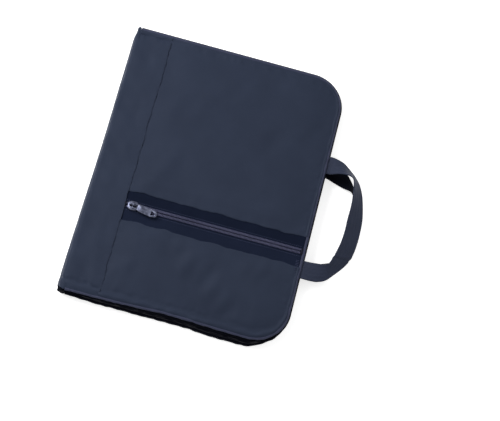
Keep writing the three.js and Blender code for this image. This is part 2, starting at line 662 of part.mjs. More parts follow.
// Document pocket and stepped card pockets on the inside of the front cover
function buildInnerPockets(cover) {
  const wallZ = FRONT_INNER_Z;
  const panelZ = wallZ - DOC_DEPTH;
  const faceZ = panelZ - LINING_T;
  const low = BOTTOM_Y + DOC_BOTTOM;
  const right = COVER_W - DOC_FORE_EDGE;
  const panel = block(DOC_LEFT, right, low, low + DOC_H, faceZ, wallZ);
  const room = block(DOC_LEFT + DOC_SEAM, right - DOC_SEAM, low + DOC_SEAM, low + DOC_H + GAP,
    panelZ, wallZ + GAP);
  addMesh(cover, 'document_pocket', cut(panel, room), MATERIALS.lining);
  const cardLow = BOTTOM_Y + CARD_BOTTOM;
  for (let i = 0; i < CARD_POCKETS; i += 1) {
    const cardZ = faceZ - CARD_T * i;
    addMesh(cover, `card_pocket_${i + 1}`, block(CARD_LEFT, CARD_LEFT + CARD_W,
      cardLow, cardLow + CARD_H - CARD_STEP * i, cardZ - CARD_T, cardZ), MATERIALS.lining);
  }
}

// Pocket slider, parked at the spine end of the closed pocket zip, and its pull tab, which lies askew
function buildPocketSlider(cover) {
  const startX = SPINE_STRIP_W + STRIP_SEAM / 2 + POCKET_STOP_L + GAP + POCKET_SLIDER_L / 2;
  const slider = body(cover, startX, CHAIN_Y, -FABRIC_T);
  addMesh(slider, 'pocket_slider', sliderGeometry({
    length: POCKET_SLIDER_L,
    innerHalf: POCKET_ROW_GAP + POCKET_ROW_W + GAP,
    wall: POCKET_SLIDER_WALL,
    rowTop: POCKET_ROW_H,
    openSide: false,
  }), MATERIALS.metal);
  const pull = body(slider, 0, 0, POCKET_ROW_H + GAP + SLIDER_PLATE + pivotHeight());
  pull.rotation.z = -POCKET_PULL_ASKEW;
  addMesh(pull, 'pocket_pull',
    pullGeometry(POCKET_PULL_L, POCKET_PULL_W, POCKET_PULL_FINGER, POCKET_PULL_ASKEW), MATERIALS.metal);
}

// Closure slider, parked at the spine end of the top edge; its outer face looks along +Y
function buildClosureSlider(cover) {
  const startX = CLOSURE_ROW_START + CLOSURE_SLIDER_L / 2;
  const slider = body(cover, startX, TOP_Y - TAPE_INSET, CHAIN_Z);
  slider.rotation.x = -Math.PI / 2;
  const rowTop = CLOSURE_ROW_H + GAP;
  addMesh(slider, 'closure_slider', sliderGeometry({
    length: CLOSURE_SLIDER_L,
    innerHalf: CLOSURE_ROW_GAP + CLOSURE_ROW_W + GAP,
    wall: CLOSURE_SLIDER_WALL,
    rowTop,
    openSide: true,
  }), MATERIALS.metal);
  const pull = body(slider, 0, 0, rowTop + GAP + SLIDER_PLATE + pivotHeight());
  addMesh(pull, 'closure_pull',
    pullGeometry(CLOSURE_PULL_L, CLOSURE_PULL_W, CLOSURE_PULL_FINGER, 0), MATERIALS.metal);
}

function buildHandle(cover, name, legs, z) {
  const handle = body(cover, COVER_W + HANDLE_AXIS_OUT, middleOf(legs), z);
  addMesh(handle, name, handleGeometry(spanOf(legs)), MATERIALS.webbing);
}

const backCover = buildBackCover();
const spine = buildSpine();
const frontCover = buildFrontCover(spine);
buildPocketSlider(frontCover);
buildClosureSlider(backCover);
buildHandle(frontCover, 'front_handle', frontLegs, -FRONT_STRAP_DEPTH);
buildHandle(backCover, 'back_handle', backLegs, BACK_STRAP_DEPTH);

export default folder;
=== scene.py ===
import math

import bmesh
import bpy
import numpy as np
from mathutils import Matrix, Vector


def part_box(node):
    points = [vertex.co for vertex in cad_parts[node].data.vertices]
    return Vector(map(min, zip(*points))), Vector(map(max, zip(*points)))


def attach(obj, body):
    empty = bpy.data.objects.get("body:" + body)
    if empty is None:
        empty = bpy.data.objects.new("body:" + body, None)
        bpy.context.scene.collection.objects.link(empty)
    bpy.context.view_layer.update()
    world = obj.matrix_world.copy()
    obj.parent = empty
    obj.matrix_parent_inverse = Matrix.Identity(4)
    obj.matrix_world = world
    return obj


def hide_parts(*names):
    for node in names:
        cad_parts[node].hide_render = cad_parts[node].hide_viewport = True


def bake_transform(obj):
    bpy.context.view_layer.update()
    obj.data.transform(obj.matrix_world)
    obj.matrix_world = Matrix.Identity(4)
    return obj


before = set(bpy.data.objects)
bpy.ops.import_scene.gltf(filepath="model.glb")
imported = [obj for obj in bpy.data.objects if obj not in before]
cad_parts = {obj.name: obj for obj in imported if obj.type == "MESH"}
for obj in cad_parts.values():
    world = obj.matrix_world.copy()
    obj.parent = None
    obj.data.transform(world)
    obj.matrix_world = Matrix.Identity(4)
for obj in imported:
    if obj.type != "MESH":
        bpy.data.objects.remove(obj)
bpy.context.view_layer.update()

MM = 0.001

# Cover outline: square at the spine, round at the fore edge
COVER_RIGHT = 131.0
COVER_TOP = 170.0
CORNER_RADIUS = 41.0
CORNER_X = COVER_RIGHT - CORNER_RADIUS
CORNER_Y = COVER_TOP - CORNER_RADIUS

# Heights in the closed folder
FRONT_TOP = 20.0
MID_Z = 10.0

# Angle between faces, in degrees, from which their edge looks sharp
SHARP = 42

# Turns a piece made flat so that it stands, its face along +Y
UPRIGHT = Matrix(((1, 0, 0, 0), (0, 0, 1, 0), (0, -1, 0, 0), (0, 0, 0, 1)))


# Numbers along lines and over surfaces

def box_mm(node):
    low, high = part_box(node)
    return np.array(low) / MM, np.array(high) / MM


def waves(x, y, seed, length, spread=0.45, angle=None, turn=0.25, count=9):
    """A smooth random height of about -1 to 1 made of plane waves."""
    rng = np.random.default_rng(seed)
    total = np.zeros(np.broadcast(x, y).shape)
    for _ in range(count):
        a = rng.uniform(0, 2 * math.pi) if angle is None else angle + rng.normal(0, turn)
        k = 2 * math.pi / (length * rng.uniform(1 - spread, 1 + spread))
        total += np.sin(k * (x * math.cos(a) + y * math.sin(a)) + rng.uniform(0, 2 * math.pi))
    return total / math.sqrt(count)


def ease(value, low, high):
    t = np.clip((value - low) / (high - low), 0, 1)
    return t * t * (3 - 2 * t)


def hump(value, centre, width):
    return np.exp(-((value - centre) / width) ** 2)


def fade(distance, width):
    """1 at an edge and before it, falling off to 0 over some widths."""
    return np.exp(-np.maximum(distance, 0) / width)


def graded(start, end, fine, coarse, reach=8.0):
    """Stations from start to end, fine within reach of both and coarse between."""
    length = end - start
    near = [0.0]
    step = fine
    while near[-1] < min(reach, length * 0.4):
        near.append(near[-1] + step)
        step = min(step * 1.25, coarse)
    near = np.array(near)
    n = max(2, int(math.ceil((length - 2 * near[-1]) / coarse)) + 1)
    middle = np.linspace(near[-1], length - near[-1], n)
    return start + np.concatenate([near[:-1], middle, (length - near[:-1])[::-1]])


def stack(x, y, z):
    return np.stack(np.broadcast_arrays(x, y, z), -1)


def unit(rows):
    return rows / np.linalg.norm(rows, axis=1)[:, None]


def run_along(path):
    """Distance of each point of a path from its first, along it."""
    return np.concatenate([[0], np.cumsum(np.linalg.norm(np.diff(path, axis=0), axis=1))])


def resample(path, at):
    """Points of a path at given distances along it."""
    run = run_along(path)
    return np.stack([np.interp(at, run, path[:, k]) for k in range(path.shape[1])], 1)


def spline(points, count):
    """Catmull-Rom through rows of numbers, count rows in all, evenly spaced by length."""
    p = np.asarray(points, float)
    ext = np.vstack([2 * p[0] - p[1], p, 2 * p[-1] - p[-2]])
    dense = []
    for a, b, c, d in zip(ext, ext[1:], ext[2:], ext[3:]):
        for t in np.linspace(0, 1, 24, endpoint=False):
            dense.append(0.5 * (2 * b + (c - a) * t + (2 * a - 5 * b + 4 * c - d) * t ** 2
                                + (3 * b - a - 3 * c + d) * t ** 3))
    dense.append(p[-1])
    dense = np.array(dense)
    return resample(dense, np.linspace(0, run_along(dense)[-1], count))


def right_edge(y, inset):
    radius = CORNER_RADIUS - inset
    over = np.clip(np.abs(y) - CORNER_Y, 0, radius)
    return CORNER_X + np.sqrt(np.maximum(radius ** 2 - over ** 2, 0))


def edge_distance(x, y):
    """Distance in from the outline's top, bottom and fore edge."""
    qx, qy = x - CORNER_X, np.abs(y) - CORNER_Y
    straight = np.minimum(COVER_RIGHT - x, COVER_TOP - np.abs(y))
    return np.where((qx > 0) & (qy > 0), CORNER_RADIUS - np.hypot(qx, qy), straight)


def edge_run(x, y):
    """Place along the outline of the nearest edge point."""
    qx, qy = x - CORNER_X, np.abs(y) - CORNER_Y
    quarter = CORNER_RADIUS * math.pi / 2
    arc = CORNER_Y + CORNER_RADIUS * np.arctan2(np.maximum(qy, 0), np.maximum(qx, 1e-6))
    on_side = COVER_RIGHT - x < COVER_TOP - np.abs(y)
    run = np.where((qx > 0) & (qy > 0), arc,
                   np.where(on_side, np.abs(y), CORNER_Y + quarter + CORNER_X - x))
    return np.where(y < 0, -run, run)


def outline(inset, x_start, step, z):
    """Points of the outline at an inset, from the spine along the bottom, the fore edge and the top."""
    radius = CORNER_RADIUS - inset
    side = COVER_TOP - inset
    n = int(abs(CORNER_X - x_start) / step)
    m = int(2 * CORNER_Y / step)

    def arc(start, centre_y):
        turns = np.linspace(start, start + math.pi / 2, int(radius * 1.57 / step), endpoint=False)
        return stack(CORNER_X + radius * np.cos(turns), centre_y + radius * np.sin(turns), z)

    low = stack(np.linspace(x_start, CORNER_X, n, endpoint=False), -side, z)
    fore = stack(CORNER_X + radius, np.linspace(-CORNER_Y, CORNER_Y, m, endpoint=False), z)
    high = stack(np.linspace(CORNER_X, x_start, n + 1), side, z)
    return np.vstack([low, arc(-math.pi / 2, -CORNER_Y), fore, arc(0, CORNER_Y), high])


def edge_pull(x):
    """How far the sewing draws the front's lower edge inwards."""
    return (0.7 + 2.4 * hump(x, -3, 52)) * ease(x, -135, -110)


def side_bulge(x):
    """How far the closing zip swells out along the lower edge."""
    return (1.5 * ease(x, -122, -85) + 2.5 * ease(x, 5, 62)) * (1 - ease(x, 87, 114))


def side_sag(points):
    """The lower side, drawn in at its top and swelling out at its foot."""
    x, y, z = points[..., 0], points[..., 1], points[..., 2]
    height = ease(z, 8, 17.4)
    moved = points.copy()
    moved[..., 1] += ease(-y, 140, 163) * (edge_pull(x) * height - side_bulge(x) * (1 - height))
    return moved


# Meshes

def add_object(name, data):
    obj = bpy.data.objects.new(name, data)
    bpy.context.scene.collection.objects.link(obj)
    return obj


def make(name, points, faces, material, uv=None, sharp=SHARP):
    mesh = bpy.data.meshes.new(name)
    mesh.from_pydata((np.asarray(points, float) * MM).tolist(), [], faces)
    work = bmesh.new()
    work.from_mesh(mesh)
    bmesh.ops.recalc_face_normals(work, faces=work.faces)
    work.to_mesh(mesh)
    work.free()
    if uv is not None:
        cut = mesh.uv_layers.new(name="cut")
        corner = np.zeros(len(mesh.loops), int)
        mesh.loops.foreach_get("vertex_index", corner)
        cut.data.foreach_set("uv", (np.asarray(uv, float) * MM)[corner].ravel())
    mesh.polygons.foreach_set("use_smooth", [True] * len(mesh.polygons))
    mesh.set_sharp_from_angle(angle=math.radians(sharp))
    mesh.materials.append(material)
    return add_object(name, mesh)


def grid_faces(rows, cols, wrap_rows=False, wrap_cols=True):
    """Quads between neighbours in a grid of points numbered row by row."""
    index = np.arange(rows * cols).reshape(rows, cols)
    if wrap_rows:
        index = np.vstack([index, index[:1]])
    if wrap_cols:
        index = np.hstack([index, index[:, :1]])
    return np.stack([index[:-1, :-1], index[:-1, 1:], index[1:, 1:], index[1:, :-1]], -1).reshape(-1, 4)


def solid(name, top, bottom, material, uv=None, sharp=SHARP):
    """A closed body between two grids of points of the same shape."""
    rows, cols = top.shape[:2]
    n = rows * cols
    index = np.arange(n).reshape(rows, cols)
    quad = grid_faces(rows, cols, wrap_cols=False)
    ring = np.concatenate([index[0, :-1], index[:-1, -1], index[-1, :0:-1], index[:0:-1, 0]])
    after = np.roll(ring, -1)
    wall = np.stack([ring, after, after + n, ring + n], 1)
    faces = np.concatenate([quad, quad[:, ::-1] + n, wall]).tolist()
    points = np.concatenate([top.reshape(-1, 3), bottom.reshape(-1, 3)])
    flat = points[:, :2] if uv is None else np.concatenate([uv.reshape(-1, 2)] * 2)
    return make(name, points, faces, material, flat, sharp)


def sweep(name, path, section, material, up=(0, 0, 1), sharp=SHARP, warp=None):
    """A loop of (side, up) offsets, or one loop for each point, carried along a path."""
    path = np.asarray(path, float)
    section = np.broadcast_to(np.asarray(section, float), (len(path),) + np.shape(section)[-2:])
    tangent = unit(np.gradient(path, axis=0))
    side = unit(np.cross(tangent, np.broadcast_to(np.asarray(up, float), path.shape)))
    rise = np.cross(side, tangent)
    points = path[:, None] + side[:, None] * section[..., :1] + rise[:, None] * section[..., 1:]
    if warp is not None:
        points = warp(points)
    rows, cols = points.shape[:2]
    first_cap = list(range(cols))
    last_cap = list(range((rows - 1) * cols, rows * cols))[::-1]
    faces = grid_faces(rows, cols).tolist() + [first_cap, last_cap]
    uv = np.stack(np.broadcast_arrays(run_along(section[0])[None], run_along(path)[:, None]), -1)
    return make(name, points.reshape(-1, 3), faces, material, uv.reshape(-1, 2), sharp)


def round_section(half_w, half_h, power=2.0, count=12):
    a = np.linspace(0, 2 * math.pi, count, endpoint=False)
    c, s = np.cos(a), np.sin(a)
    return np.stack([half_w * np.sign(c) * np.abs(c) ** (2 / power),
                     half_h * np.sign(s) * np.abs(s) ** (2 / power)], 1)


def loop_normals(loop):
    step = np.roll(loop, -1, 0) - np.roll(loop, 1, 0)
    return unit(np.stack([step[:, 1], -step[:, 0]], 1))


def mirrored(half):
    """A closed loop from (x, half width) pairs along one side."""
    return [(x, -y) for x, y in half] + half[::-1]


def rounded(corners, radius, steps=5):
    """A closed loop through corners, each rounded."""
    corners = np.asarray(corners, float)
    out = []
    for i, here in enumerate(corners):
        before, after = corners[i - 1], corners[(i + 1) % len(corners)]
        r = radius[i] if hasattr(radius, "__len__") else radius
        back = (before - here) / np.linalg.norm(before - here)
        ahead = (after - here) / np.linalg.norm(after - here)
        start, end = here + back * r, here + ahead * r
        for t in np.linspace(0, 1, steps):
            out.append((1 - t) ** 2 * start + 2 * t * (1 - t) * here + t * t * end)
    return np.array(out)


def even_loop(loop, count):
    closed = np.vstack([loop, loop[:1]])
    return resample(closed, np.linspace(0, run_along(closed)[-1], count, endpoint=False))


def plate(name, outer, low, high, bevel, material, hole=None, bow=None, count=72):
    """A flat plate with rounded rims and perhaps a hole. Both loops run counterclockwise."""
    outer = even_loop(np.asarray(outer, float), count)
    normal = loop_normals(outer)
    rings = [(outer, low + bevel), (outer, high - bevel),
             (outer - normal * bevel * 0.35, high - bevel * 0.3), (outer - normal * bevel, high)]
    top_ring = len(rings) - 1
    if hole is not None:
        hole = even_loop(np.asarray(hole, float), count)
        start = np.argmin(np.linalg.norm(hole - outer[0], axis=1))
        hole = np.roll(hole, -start, 0)
        inward = loop_normals(hole)
        rings += [(hole + inward * bevel, high), (hole, high - bevel), (hole, low + bevel),
                  (hole + inward * bevel, low)]
    rings += [(outer - normal * bevel, low), (outer - normal * bevel * 0.35, low + bevel * 0.3)]
    points = np.concatenate([np.column_stack([ring, np.full(count, z)]) for ring, z in rings])
    if bow is not None:
        points[:, 2] += bow(points[:, 0], points[:, 1])
    faces = grid_faces(len(rings), count, wrap_rows=True).tolist()
    if hole is None:
        del faces[top_ring * count:(top_ring + 1) * count]
        caps = np.arange(top_ring * count, (top_ring + 2) * count).reshape(2, count)
        faces += [caps[0].tolist(), caps[1, ::-1].tolist()]
    return make(name, points, faces, material, points[:, :2], 50)


def join(name, pieces):
    """One object of several meshes of the same material."""
    with bpy.context.temp_override(active_object=pieces[0], selected_editable_objects=pieces):
        bpy.ops.object.join()
    pieces[0].name = name
    pieces[0].data.name = name
    return pieces[0]


def place(obj, body, slot, *nodes):
    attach(obj, body)
    if nodes:
        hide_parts(*nodes)
    return obj


# Materials

def shader(name, coordinates):
    """A new material with its node tree, its shader and the coordinates of its patterns."""
    material = bpy.data.materials.new(name)
    material.use_nodes = True
    tree = material.node_tree
    vector = tree.nodes.new("ShaderNodeTexCoord").outputs[coordinates]
    return material, tree, tree.nodes["Principled BSDF"], vector


def linear(hex_colour):
    values = [int(hex_colour[i:i + 2], 16) / 255 for i in (1, 3, 5)]
    return tuple(v / 12.92 if v <= 0.04045 else ((v + 0.055) / 1.055) ** 2.4 for v in values) + (1.0,)


def pattern(tree, kind, vector, **settings):
    """The grey value of a noise or wave texture."""
    node = tree.nodes.new("ShaderNodeTex" + kind)
    tree.links.new(vector, node.inputs["Vector"])
    for key, value in settings.items():
        if key in node.inputs:
            node.inputs[key].default_value = value
        else:
            setattr(node, key, value)
    return node.outputs["Fac"]


def combine(tree, how, a, b):
    """One step of arithmetic on two sockets or numbers."""
    node = tree.nodes.new("ShaderNodeMath")
    node.operation = how
    for slot_index, value in enumerate((a, b)):
        if hasattr(value, "is_linked"):
            tree.links.new(value, node.inputs[slot_index])
        else:
            node.inputs[slot_index].default_value = value
    return node.outputs[0]


def mix(tree, *shares):
    """The sum of (value, weight) pairs."""
    parts = [combine(tree, "MULTIPLY", value, weight) for value, weight in shares]
    total = parts[-1]
    for part in parts[-2::-1]:
        total = combine(tree, "ADD", part, total)
    return total


def ramp(tree, factor, low, dark, high, light):
    node = tree.nodes.new("ShaderNodeValToRGB")
    tree.links.new(factor, node.inputs["Fac"])
    for element, position, colour in zip(node.color_ramp.elements, (low, high), (dark, light)):
        element.position, element.color = position, linear(colour)
    return node.outputs["Color"]


def finish_shader(tree, bsdf, colour, height, grain, bump, depth, rough, spread):
    """Links a colour, a relief (its depth in metres) and a roughness that varies with the grain."""
    tree.links.new(colour, bsdf.inputs["Base Color"])
    relief = tree.nodes.new("ShaderNodeBump")
    relief.inputs["Strength"].default_value = bump
    relief.inputs["Distance"].default_value = depth
    tree.links.new(height, relief.inputs["Height"])
    tree.links.new(relief.outputs["Normal"], bsdf.inputs["Normal"])
    roughness = combine(tree, "ADD", combine(tree, "MULTIPLY", grain, spread), rough - spread / 2)
    tree.links.new(roughness, bsdf.inputs["Roughness"])


# A wave texture of scale 1 has this many waves in a length of 2 pi
TEXTURE_WAVES = 20

# Weft of each weave: its scale against the warp's, its distortion and its direction
WEFTS = {"plain": (1, 0.6, "Y"), "rib": (2, 0.8, "Y"), "twill": (1, 0.4, "DIAGONAL")}


def cloth(name, dark, light, sheen, shine, pitch=0.8, bump=0.3, rough=0.78, weave="plain"):
    """Woven cloth: crossing yarns in relief, pitch mm apart, fibre noise and slow shifts of tone."""
    material, tree, bsdf, vector = shader(name, "UV")
    scale = 2 * math.pi / (TEXTURE_WAVES * pitch * MM)
    weft_scale, weft_distortion, weft_way = WEFTS[weave]
    warp = pattern(tree, "Wave", vector, Scale=scale, Distortion=0.6, bands_direction="X")
    weft = pattern(tree, "Wave", vector, Scale=scale * weft_scale, Distortion=weft_distortion,
                   bands_direction=weft_way)
    fibre = pattern(tree, "Noise", vector, Scale=1400.0, Detail=3.0)
    tone = pattern(tree, "Noise", vector, Scale=22.0, Detail=4.0)
    yarn = combine(tree, "MULTIPLY", combine(tree, "ADD", warp, weft), 0.5)
    colour = ramp(tree, mix(tree, (yarn, 0.45), (fibre, 0.25), (tone, 0.45)), 0.25, dark, 0.85, light)
    height = combine(tree, "ADD", yarn, combine(tree, "MULTIPLY", fibre, 0.5))
    finish_shader(tree, bsdf, colour, height, fibre, bump, depth=0.00025, rough=rough, spread=0.14)
    bsdf.inputs["Specular IOR Level"].default_value = shine
    bsdf.inputs["Sheen Weight"].default_value = sheen
    bsdf.inputs["Sheen Roughness"].default_value = 0.45
    bsdf.inputs["Sheen Tint"].default_value = (0.75, 0.82, 1.0, 1.0)
    return material


def metal(name, dark, light):
    material, tree, bsdf, vector = shader(name, "Object")
    wear = pattern(tree, "Noise", vector, Scale=260.0, Detail=6.0)
    grain = pattern(tree, "Noise", vector, Scale=2400.0, Detail=3.0)
    colour = ramp(tree, wear, 0.35, dark, 0.65, light)
    finish_shader(tree, bsdf, colour, grain, wear, bump=0.12, depth=0.0001, rough=0.32, spread=0.2)
    bsdf.inputs["Metallic"].default_value = 1.0
    return material


def plastic(name, dark, light, rough=0.4, scale=900.0, shine=0.5):
    """Moulded or drawn plastic, card, paper or board: fine grain with small shifts of tone."""
    material, tree, bsdf, vector = shader(name, "Object")
    grain = pattern(tree, "Noise", vector, Scale=scale, Detail=5.0)
    tone = pattern(tree, "Noise", vector, Scale=30.0, Detail=3.0)
    colour = ramp(tree, mix(tree, (grain, 0.5), (tone, 0.5)), 0.3, dark, 0.7, light)
    finish_shader(tree, bsdf, colour, grain, grain, bump=0.2, depth=0.0001, rough=rough, spread=0.16)
    bsdf.inputs["Specular IOR Level"].default_value = shine
    return material


TAPE_WEAVE = {"pitch": 0.7, "bump": 0.4, "weave": "twill"}
COVER = cloth("cover_fabric", "#1f2636", "#2d3547", sheen=0.05, shine=0.1, rough=0.62)
WELT = cloth("welt_fabric", "#2a2e42", "#3a3e55", sheen=0.08, shine=0.16, rough=0.55)
# Near-black copy of the welt cloth for the back welt: painted shade of the folder's lower side
SHADED_WELT = cloth("shaded_welt_fabric", "#060810", "#0f121e", sheen=0.0, shine=0.05)
TAPE = cloth("zip_tape", "#0e1525", "#1b2236", sheen=0.01, shine=0.06, **TAPE_WEAVE)
# Darker copy of the zip tape for the pocket's upper tape: painted shade under the panel's hem
SHADED_UPPER_TAPE = cloth("shaded_upper_zip_tape", "#090f1d", "#141b2e", sheen=0.01, shine=0.05, **TAPE_WEAVE)
# Near-black tape for the closing zip and the spine's ends: painted shade of the sides, which face away from
# the light
SHADED_SIDE_TAPE = cloth("shaded_side_tape", "#03040a", "#090b14", sheen=0.0, shine=0.03, **TAPE_WEAVE)
WEBBING = cloth("webbing", "#232838", "#333a4e", sheen=0.05, shine=0.12, pitch=1.5, bump=0.7, rough=0.6,
                weave="rib")
# Near-black copy of the webbing for the back handle: painted shade under the front strap
SHADED_WEBBING = cloth("shaded_back_webbing", "#05060e", "#0d0f1b", sheen=0.01, shine=0.06, pitch=1.5, bump=0.6,
                     weave="rib")
LINING = cloth("lining", "#1d222b", "#2f3642", sheen=0.06, shine=0.15, pitch=0.5, bump=0.2)
ELASTIC = cloth("elastic", "#14171d", "#272c35", sheen=0.06, shine=0.15, pitch=0.9, bump=0.5, weave="rib")
BINDING = cloth("binding", "#1a2130", "#2b3548", sheen=0.06, shine=0.2, pitch=0.5)
THREAD = cloth("thread", "#2a3048", "#3d4460", sheen=0.08, shine=0.15, pitch=0.4, bump=0.5)
TEETH = plastic("zip_teeth", "#3c3e58", "#5c5e7c", rough=0.38, shine=0.2)
# Near-black copy of the zip teeth for the closing zip: painted shade of the side
SHADED_TEETH = plastic("shaded_side_zip_teeth", "#06070f", "#0e101c", rough=0.45, shine=0.08)
# Near-black plastic: the stops, dark so they vanish into the tape, and the painted shade under the slider's
# bail
DARK_STOP_AND_SHADE = plastic("dark_stops_and_painted_shade", "#090b16", "#141829", shine=0.1)
METAL = metal("zip_metal", "#3b3e4d", "#666a7c")
PAPER = plastic("paper", "#e6e3d8", "#f1efe6", rough=0.75, scale=700.0)
CARD = plastic("backing_card", "#84735a", "#a1907a", rough=0.8, scale=500.0)
BOARD = plastic("board", "#23262d", "#343841", rough=0.8, scale=400.0)
FOAM = plastic("foam", "#2a2d33", "#3d4148", rough=0.9, scale=1200.0)

# Nodes of the CAD that keep their own shape
FOAM_NODES = ["front_upper_foam", "front_strip_foam"]
PLAIN_NODES = [("board", BOARD, ["back_board", "front_board", "spine_board"]), ("foam", FOAM, FOAM_NODES),
               ("lining", LINING, ["pocket_back_lining"])]
for slot_name, material, node_names in PLAIN_NODES:
    for node_name in node_names:
        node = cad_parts[node_name]
        node.data.materials.clear()
        node.data.materials.append(material)


# Cloth panels on the covers


def corners_cut(inset, count=2):
    return count * (1 - math.pi / 4) * (CORNER_RADIUS - inset) ** 2


def panel_grid(x_low, inset, y_low, y_high, fine=0.5, coarse=2.2):
    """Points over a part of the cover, from x_low to the outline at an inset."""
    radius = CORNER_RADIUS - inset
    rows = [y for y in graded(y_low, y_high, fine, coarse) if abs(y) <= CORNER_Y]
    arc = CORNER_Y + radius * np.sin(np.linspace(0, math.pi / 2, 26)[1:])
    if y_high > CORNER_Y:
        rows += [y for y in arc if y <= y_high + 1e-6]
        if abs(y_high - (COVER_TOP - inset)) < 0.5:
            rows[-1] = y_high
    if y_low < -CORNER_Y:
        rows += [-y for y in arc]
    rows = np.array(sorted(set(rows)))
    across = graded(0, right_edge(0, inset) - x_low, fine, coarse)
    across = across / across[-1]
    y = np.repeat(rows[:, None], len(across), 1)
    x = x_low + across[None] * (right_edge(y, inset) - x_low)
    return x, y


def border_relief(x, y):
    """Height of the soft strip inside the welt, the stitched crease and its puckers."""
    d = edge_distance(x, y)
    run = edge_run(x, y)
    foot = ease(-run, CORNER_Y - 20, CORNER_Y + 55)
    head = ease(run, CORNER_Y + 10, CORNER_Y + 70)
    crease = 5.4 + 5.6 * foot + (0.4 + 0.8 * foot) * waves(run, 0, 10, 34.0)
    strength = 0.65 + 0.35 * waves(run, 0, 12, 26.0)
    strip = (0.7 + 0.8 * foot - 0.85 * head) * np.sin(np.clip((d - 1.5) / (crease - 1.5), 0, 1) * math.pi)
    strip *= 1 + 0.35 * waves(run, d * 0.4, 13, 19.0)
    line = -(0.75 + 0.75 * foot) * strength * hump(d, crease, 1.1 + 2.0 * foot)
    ticks = 0.08 * np.sin(run * 2 * math.pi / 3.2) * hump(d, crease, 1.2)
    pucker = 0.35 * waves(run, d * 0.3, 11, 12.0) * hump(d, crease + 3.0, 4.5)
    rim = -0.25 * fade(d - 2.3, 0.8)
    return strip + line + ticks + pucker + rim


def seam_drift(y):
    """How far the seam beside the spine strays sideways."""
    return 0.45 * waves(y, 0, 20, 24.0) + 0.15 * waves(y, 0, 19, 7.0)


def seam_relief(distance, along, seed, depth, width):
    """Roll-off and puckers beside a straight seam."""
    roll = -depth * fade(distance, width)
    pull = 0.28 * waves(along, distance * 0.25, seed, 11.0) * fade(distance, 6.0)
    nips = -0.22 * np.clip(waves(along, 0, seed + 2, 5.5), 0, 2) * fade(distance, 1.6)
    return roll + pull + nips


def hem_relief(distance, along, seed):
    """A turned hem: a raised lip, then a row of stitches a little way in."""
    lip = 0.2 * hump(distance, 3.4, 2.6)
    row = -0.22 * hump(distance, 3.0, 0.6) * (0.65 + 0.35 * np.sin(along * 2 * math.pi / 3.0))
    edge = -0.4 * fade(distance, 0.5)
    return lip + row + edge + 0.25 * waves(along, distance * 0.3, seed, 22.0) * fade(distance, 9)


CREASE_LEAN = math.radians(-31.0)
CROSS_LEAN = math.radians(49.0)


def creases(x, y, seed, amount):
    """Faint slanting wrinkles of cloth over foam."""
    slant = waves(x, y, seed, 42.0, spread=0.6, angle=CREASE_LEAN, turn=0.3)
    cross = waves(x, y, seed + 1, 75.0, angle=CROSS_LEAN, turn=0.4)
    patch = ease(waves(x, y, seed + 2, 90.0), -0.9, 1.2)
    return amount * (0.8 * slant * patch + 0.35 * cross)


# Thickness of the front's cloth, and how far a sheet goes under the welt beside it
THIN = 0.8
TUCK = 1.0
BACK_TUCK = 0.6


def front_sheet(name, node, crown, cut_edge, seed, slack):
    """One cloth panel of the front, with its crown, border, spine seam and the hem beside the zip band."""
    low, high = box_mm(node)
    left, inset = low[0] - 0.25, COVER_RIGHT - high[0] - TUCK
    low_y, high_y = (low[1], high[1] + TUCK) if cut_edge == "low" else (low[1] - TUCK, high[1])
    x, y = panel_grid(left, inset, low_y, high_y)
    hem = y - low_y if cut_edge == "low" else high_y - y
    dx = x - left
    d = edge_distance(x, y)
    field = ease(d, 5, 44) * ease(dx, 0, 30) * ease(hem, 0, 17)
    lines = creases(x, y, seed, slack) * (0.25 + 0.75 * ease(d, 4, 26)) * ease(dx, 1, 12) * ease(hem, 0, 9)
    z = (FRONT_TOP + crown * field + border_relief(x, y) * ease(hem, -4, 2)
         + seam_relief(dx, y, seed + 1, 0.3, 2.6) + hem_relief(hem, x, seed + 2) + lines)
    z = np.maximum(z, FRONT_TOP - 0.25)
    side = -1 if cut_edge == "low" else 1
    stray = 0.7 * waves(x, 0, seed + 3, 30.0) + 0.25 * waves(x, 0, seed + 4, 11.0)
    y_shift = (stray + side * 0.3) * fade(hem, 9)
    y_shift = y_shift + edge_pull(x) * ease(-y, 110, 163) * fade(d - 3, 14)
    x_shift = seam_drift(y) * fade(dx, 6)
    top = stack(x + x_shift, y + y_shift, z)
    bottom = stack(x + x_shift, y + y_shift, np.maximum(z - THIN, low[2] + 0.05))
    sheet = solid(name, top, bottom, COVER)
    corners_cut(inset, 1)
    return place(sheet, "front_cover", "cover_fabric", node)


front_sheet("upper_panel", "front_upper_panel", crown=1.7, cut_edge="low", seed=41, slack=0.45)
front_sheet("pocket_front", "pocket_panel", crown=2.4, cut_edge="high", seed=142, slack=0.85)


def back_sheet():
    """The back's cloth, face down, its rim tucked under the welt."""
    low, high = box_mm("back_outer_panel")
    inset = COVER_RIGHT - high[0]
    x, y = panel_grid(low[0], inset - BACK_TUCK, low[1] - BACK_TUCK, high[1] + BACK_TUCK)
    d = edge_distance(x, y)
    dx = x - low[0]
    roll = 0.45 * fade(d - 3.3, 0.6) + 0.3 * hump(d, 6.5, 0.9)
    seam = 0.45 * fade(dx, 0.9) + 0.12 * (1 + waves(y, x * 0.1, 23, 8.0)) * fade(dx, 4)
    wrinkles = 0.03 * (1 + creases(x, y, 43, 0.8)) * ease(d, 4, 25)
    top, bottom = stack(x, y, high[2]), stack(x, y, np.maximum(0.02, roll + seam + wrinkles))
    sheet = solid("back_panel", side_sag(top), side_sag(bottom), COVER, top[..., :2])
    place(sheet, "back_cover", "cover_fabric", "back_outer_panel")


back_sheet()


# Spine cloth in two halves, one on the front cover's side, the other on the back cover's side

# Where the cloth starts to turn, and its outermost line at mid height
FOLD_X = -124.5
SPINE_X = -134.75

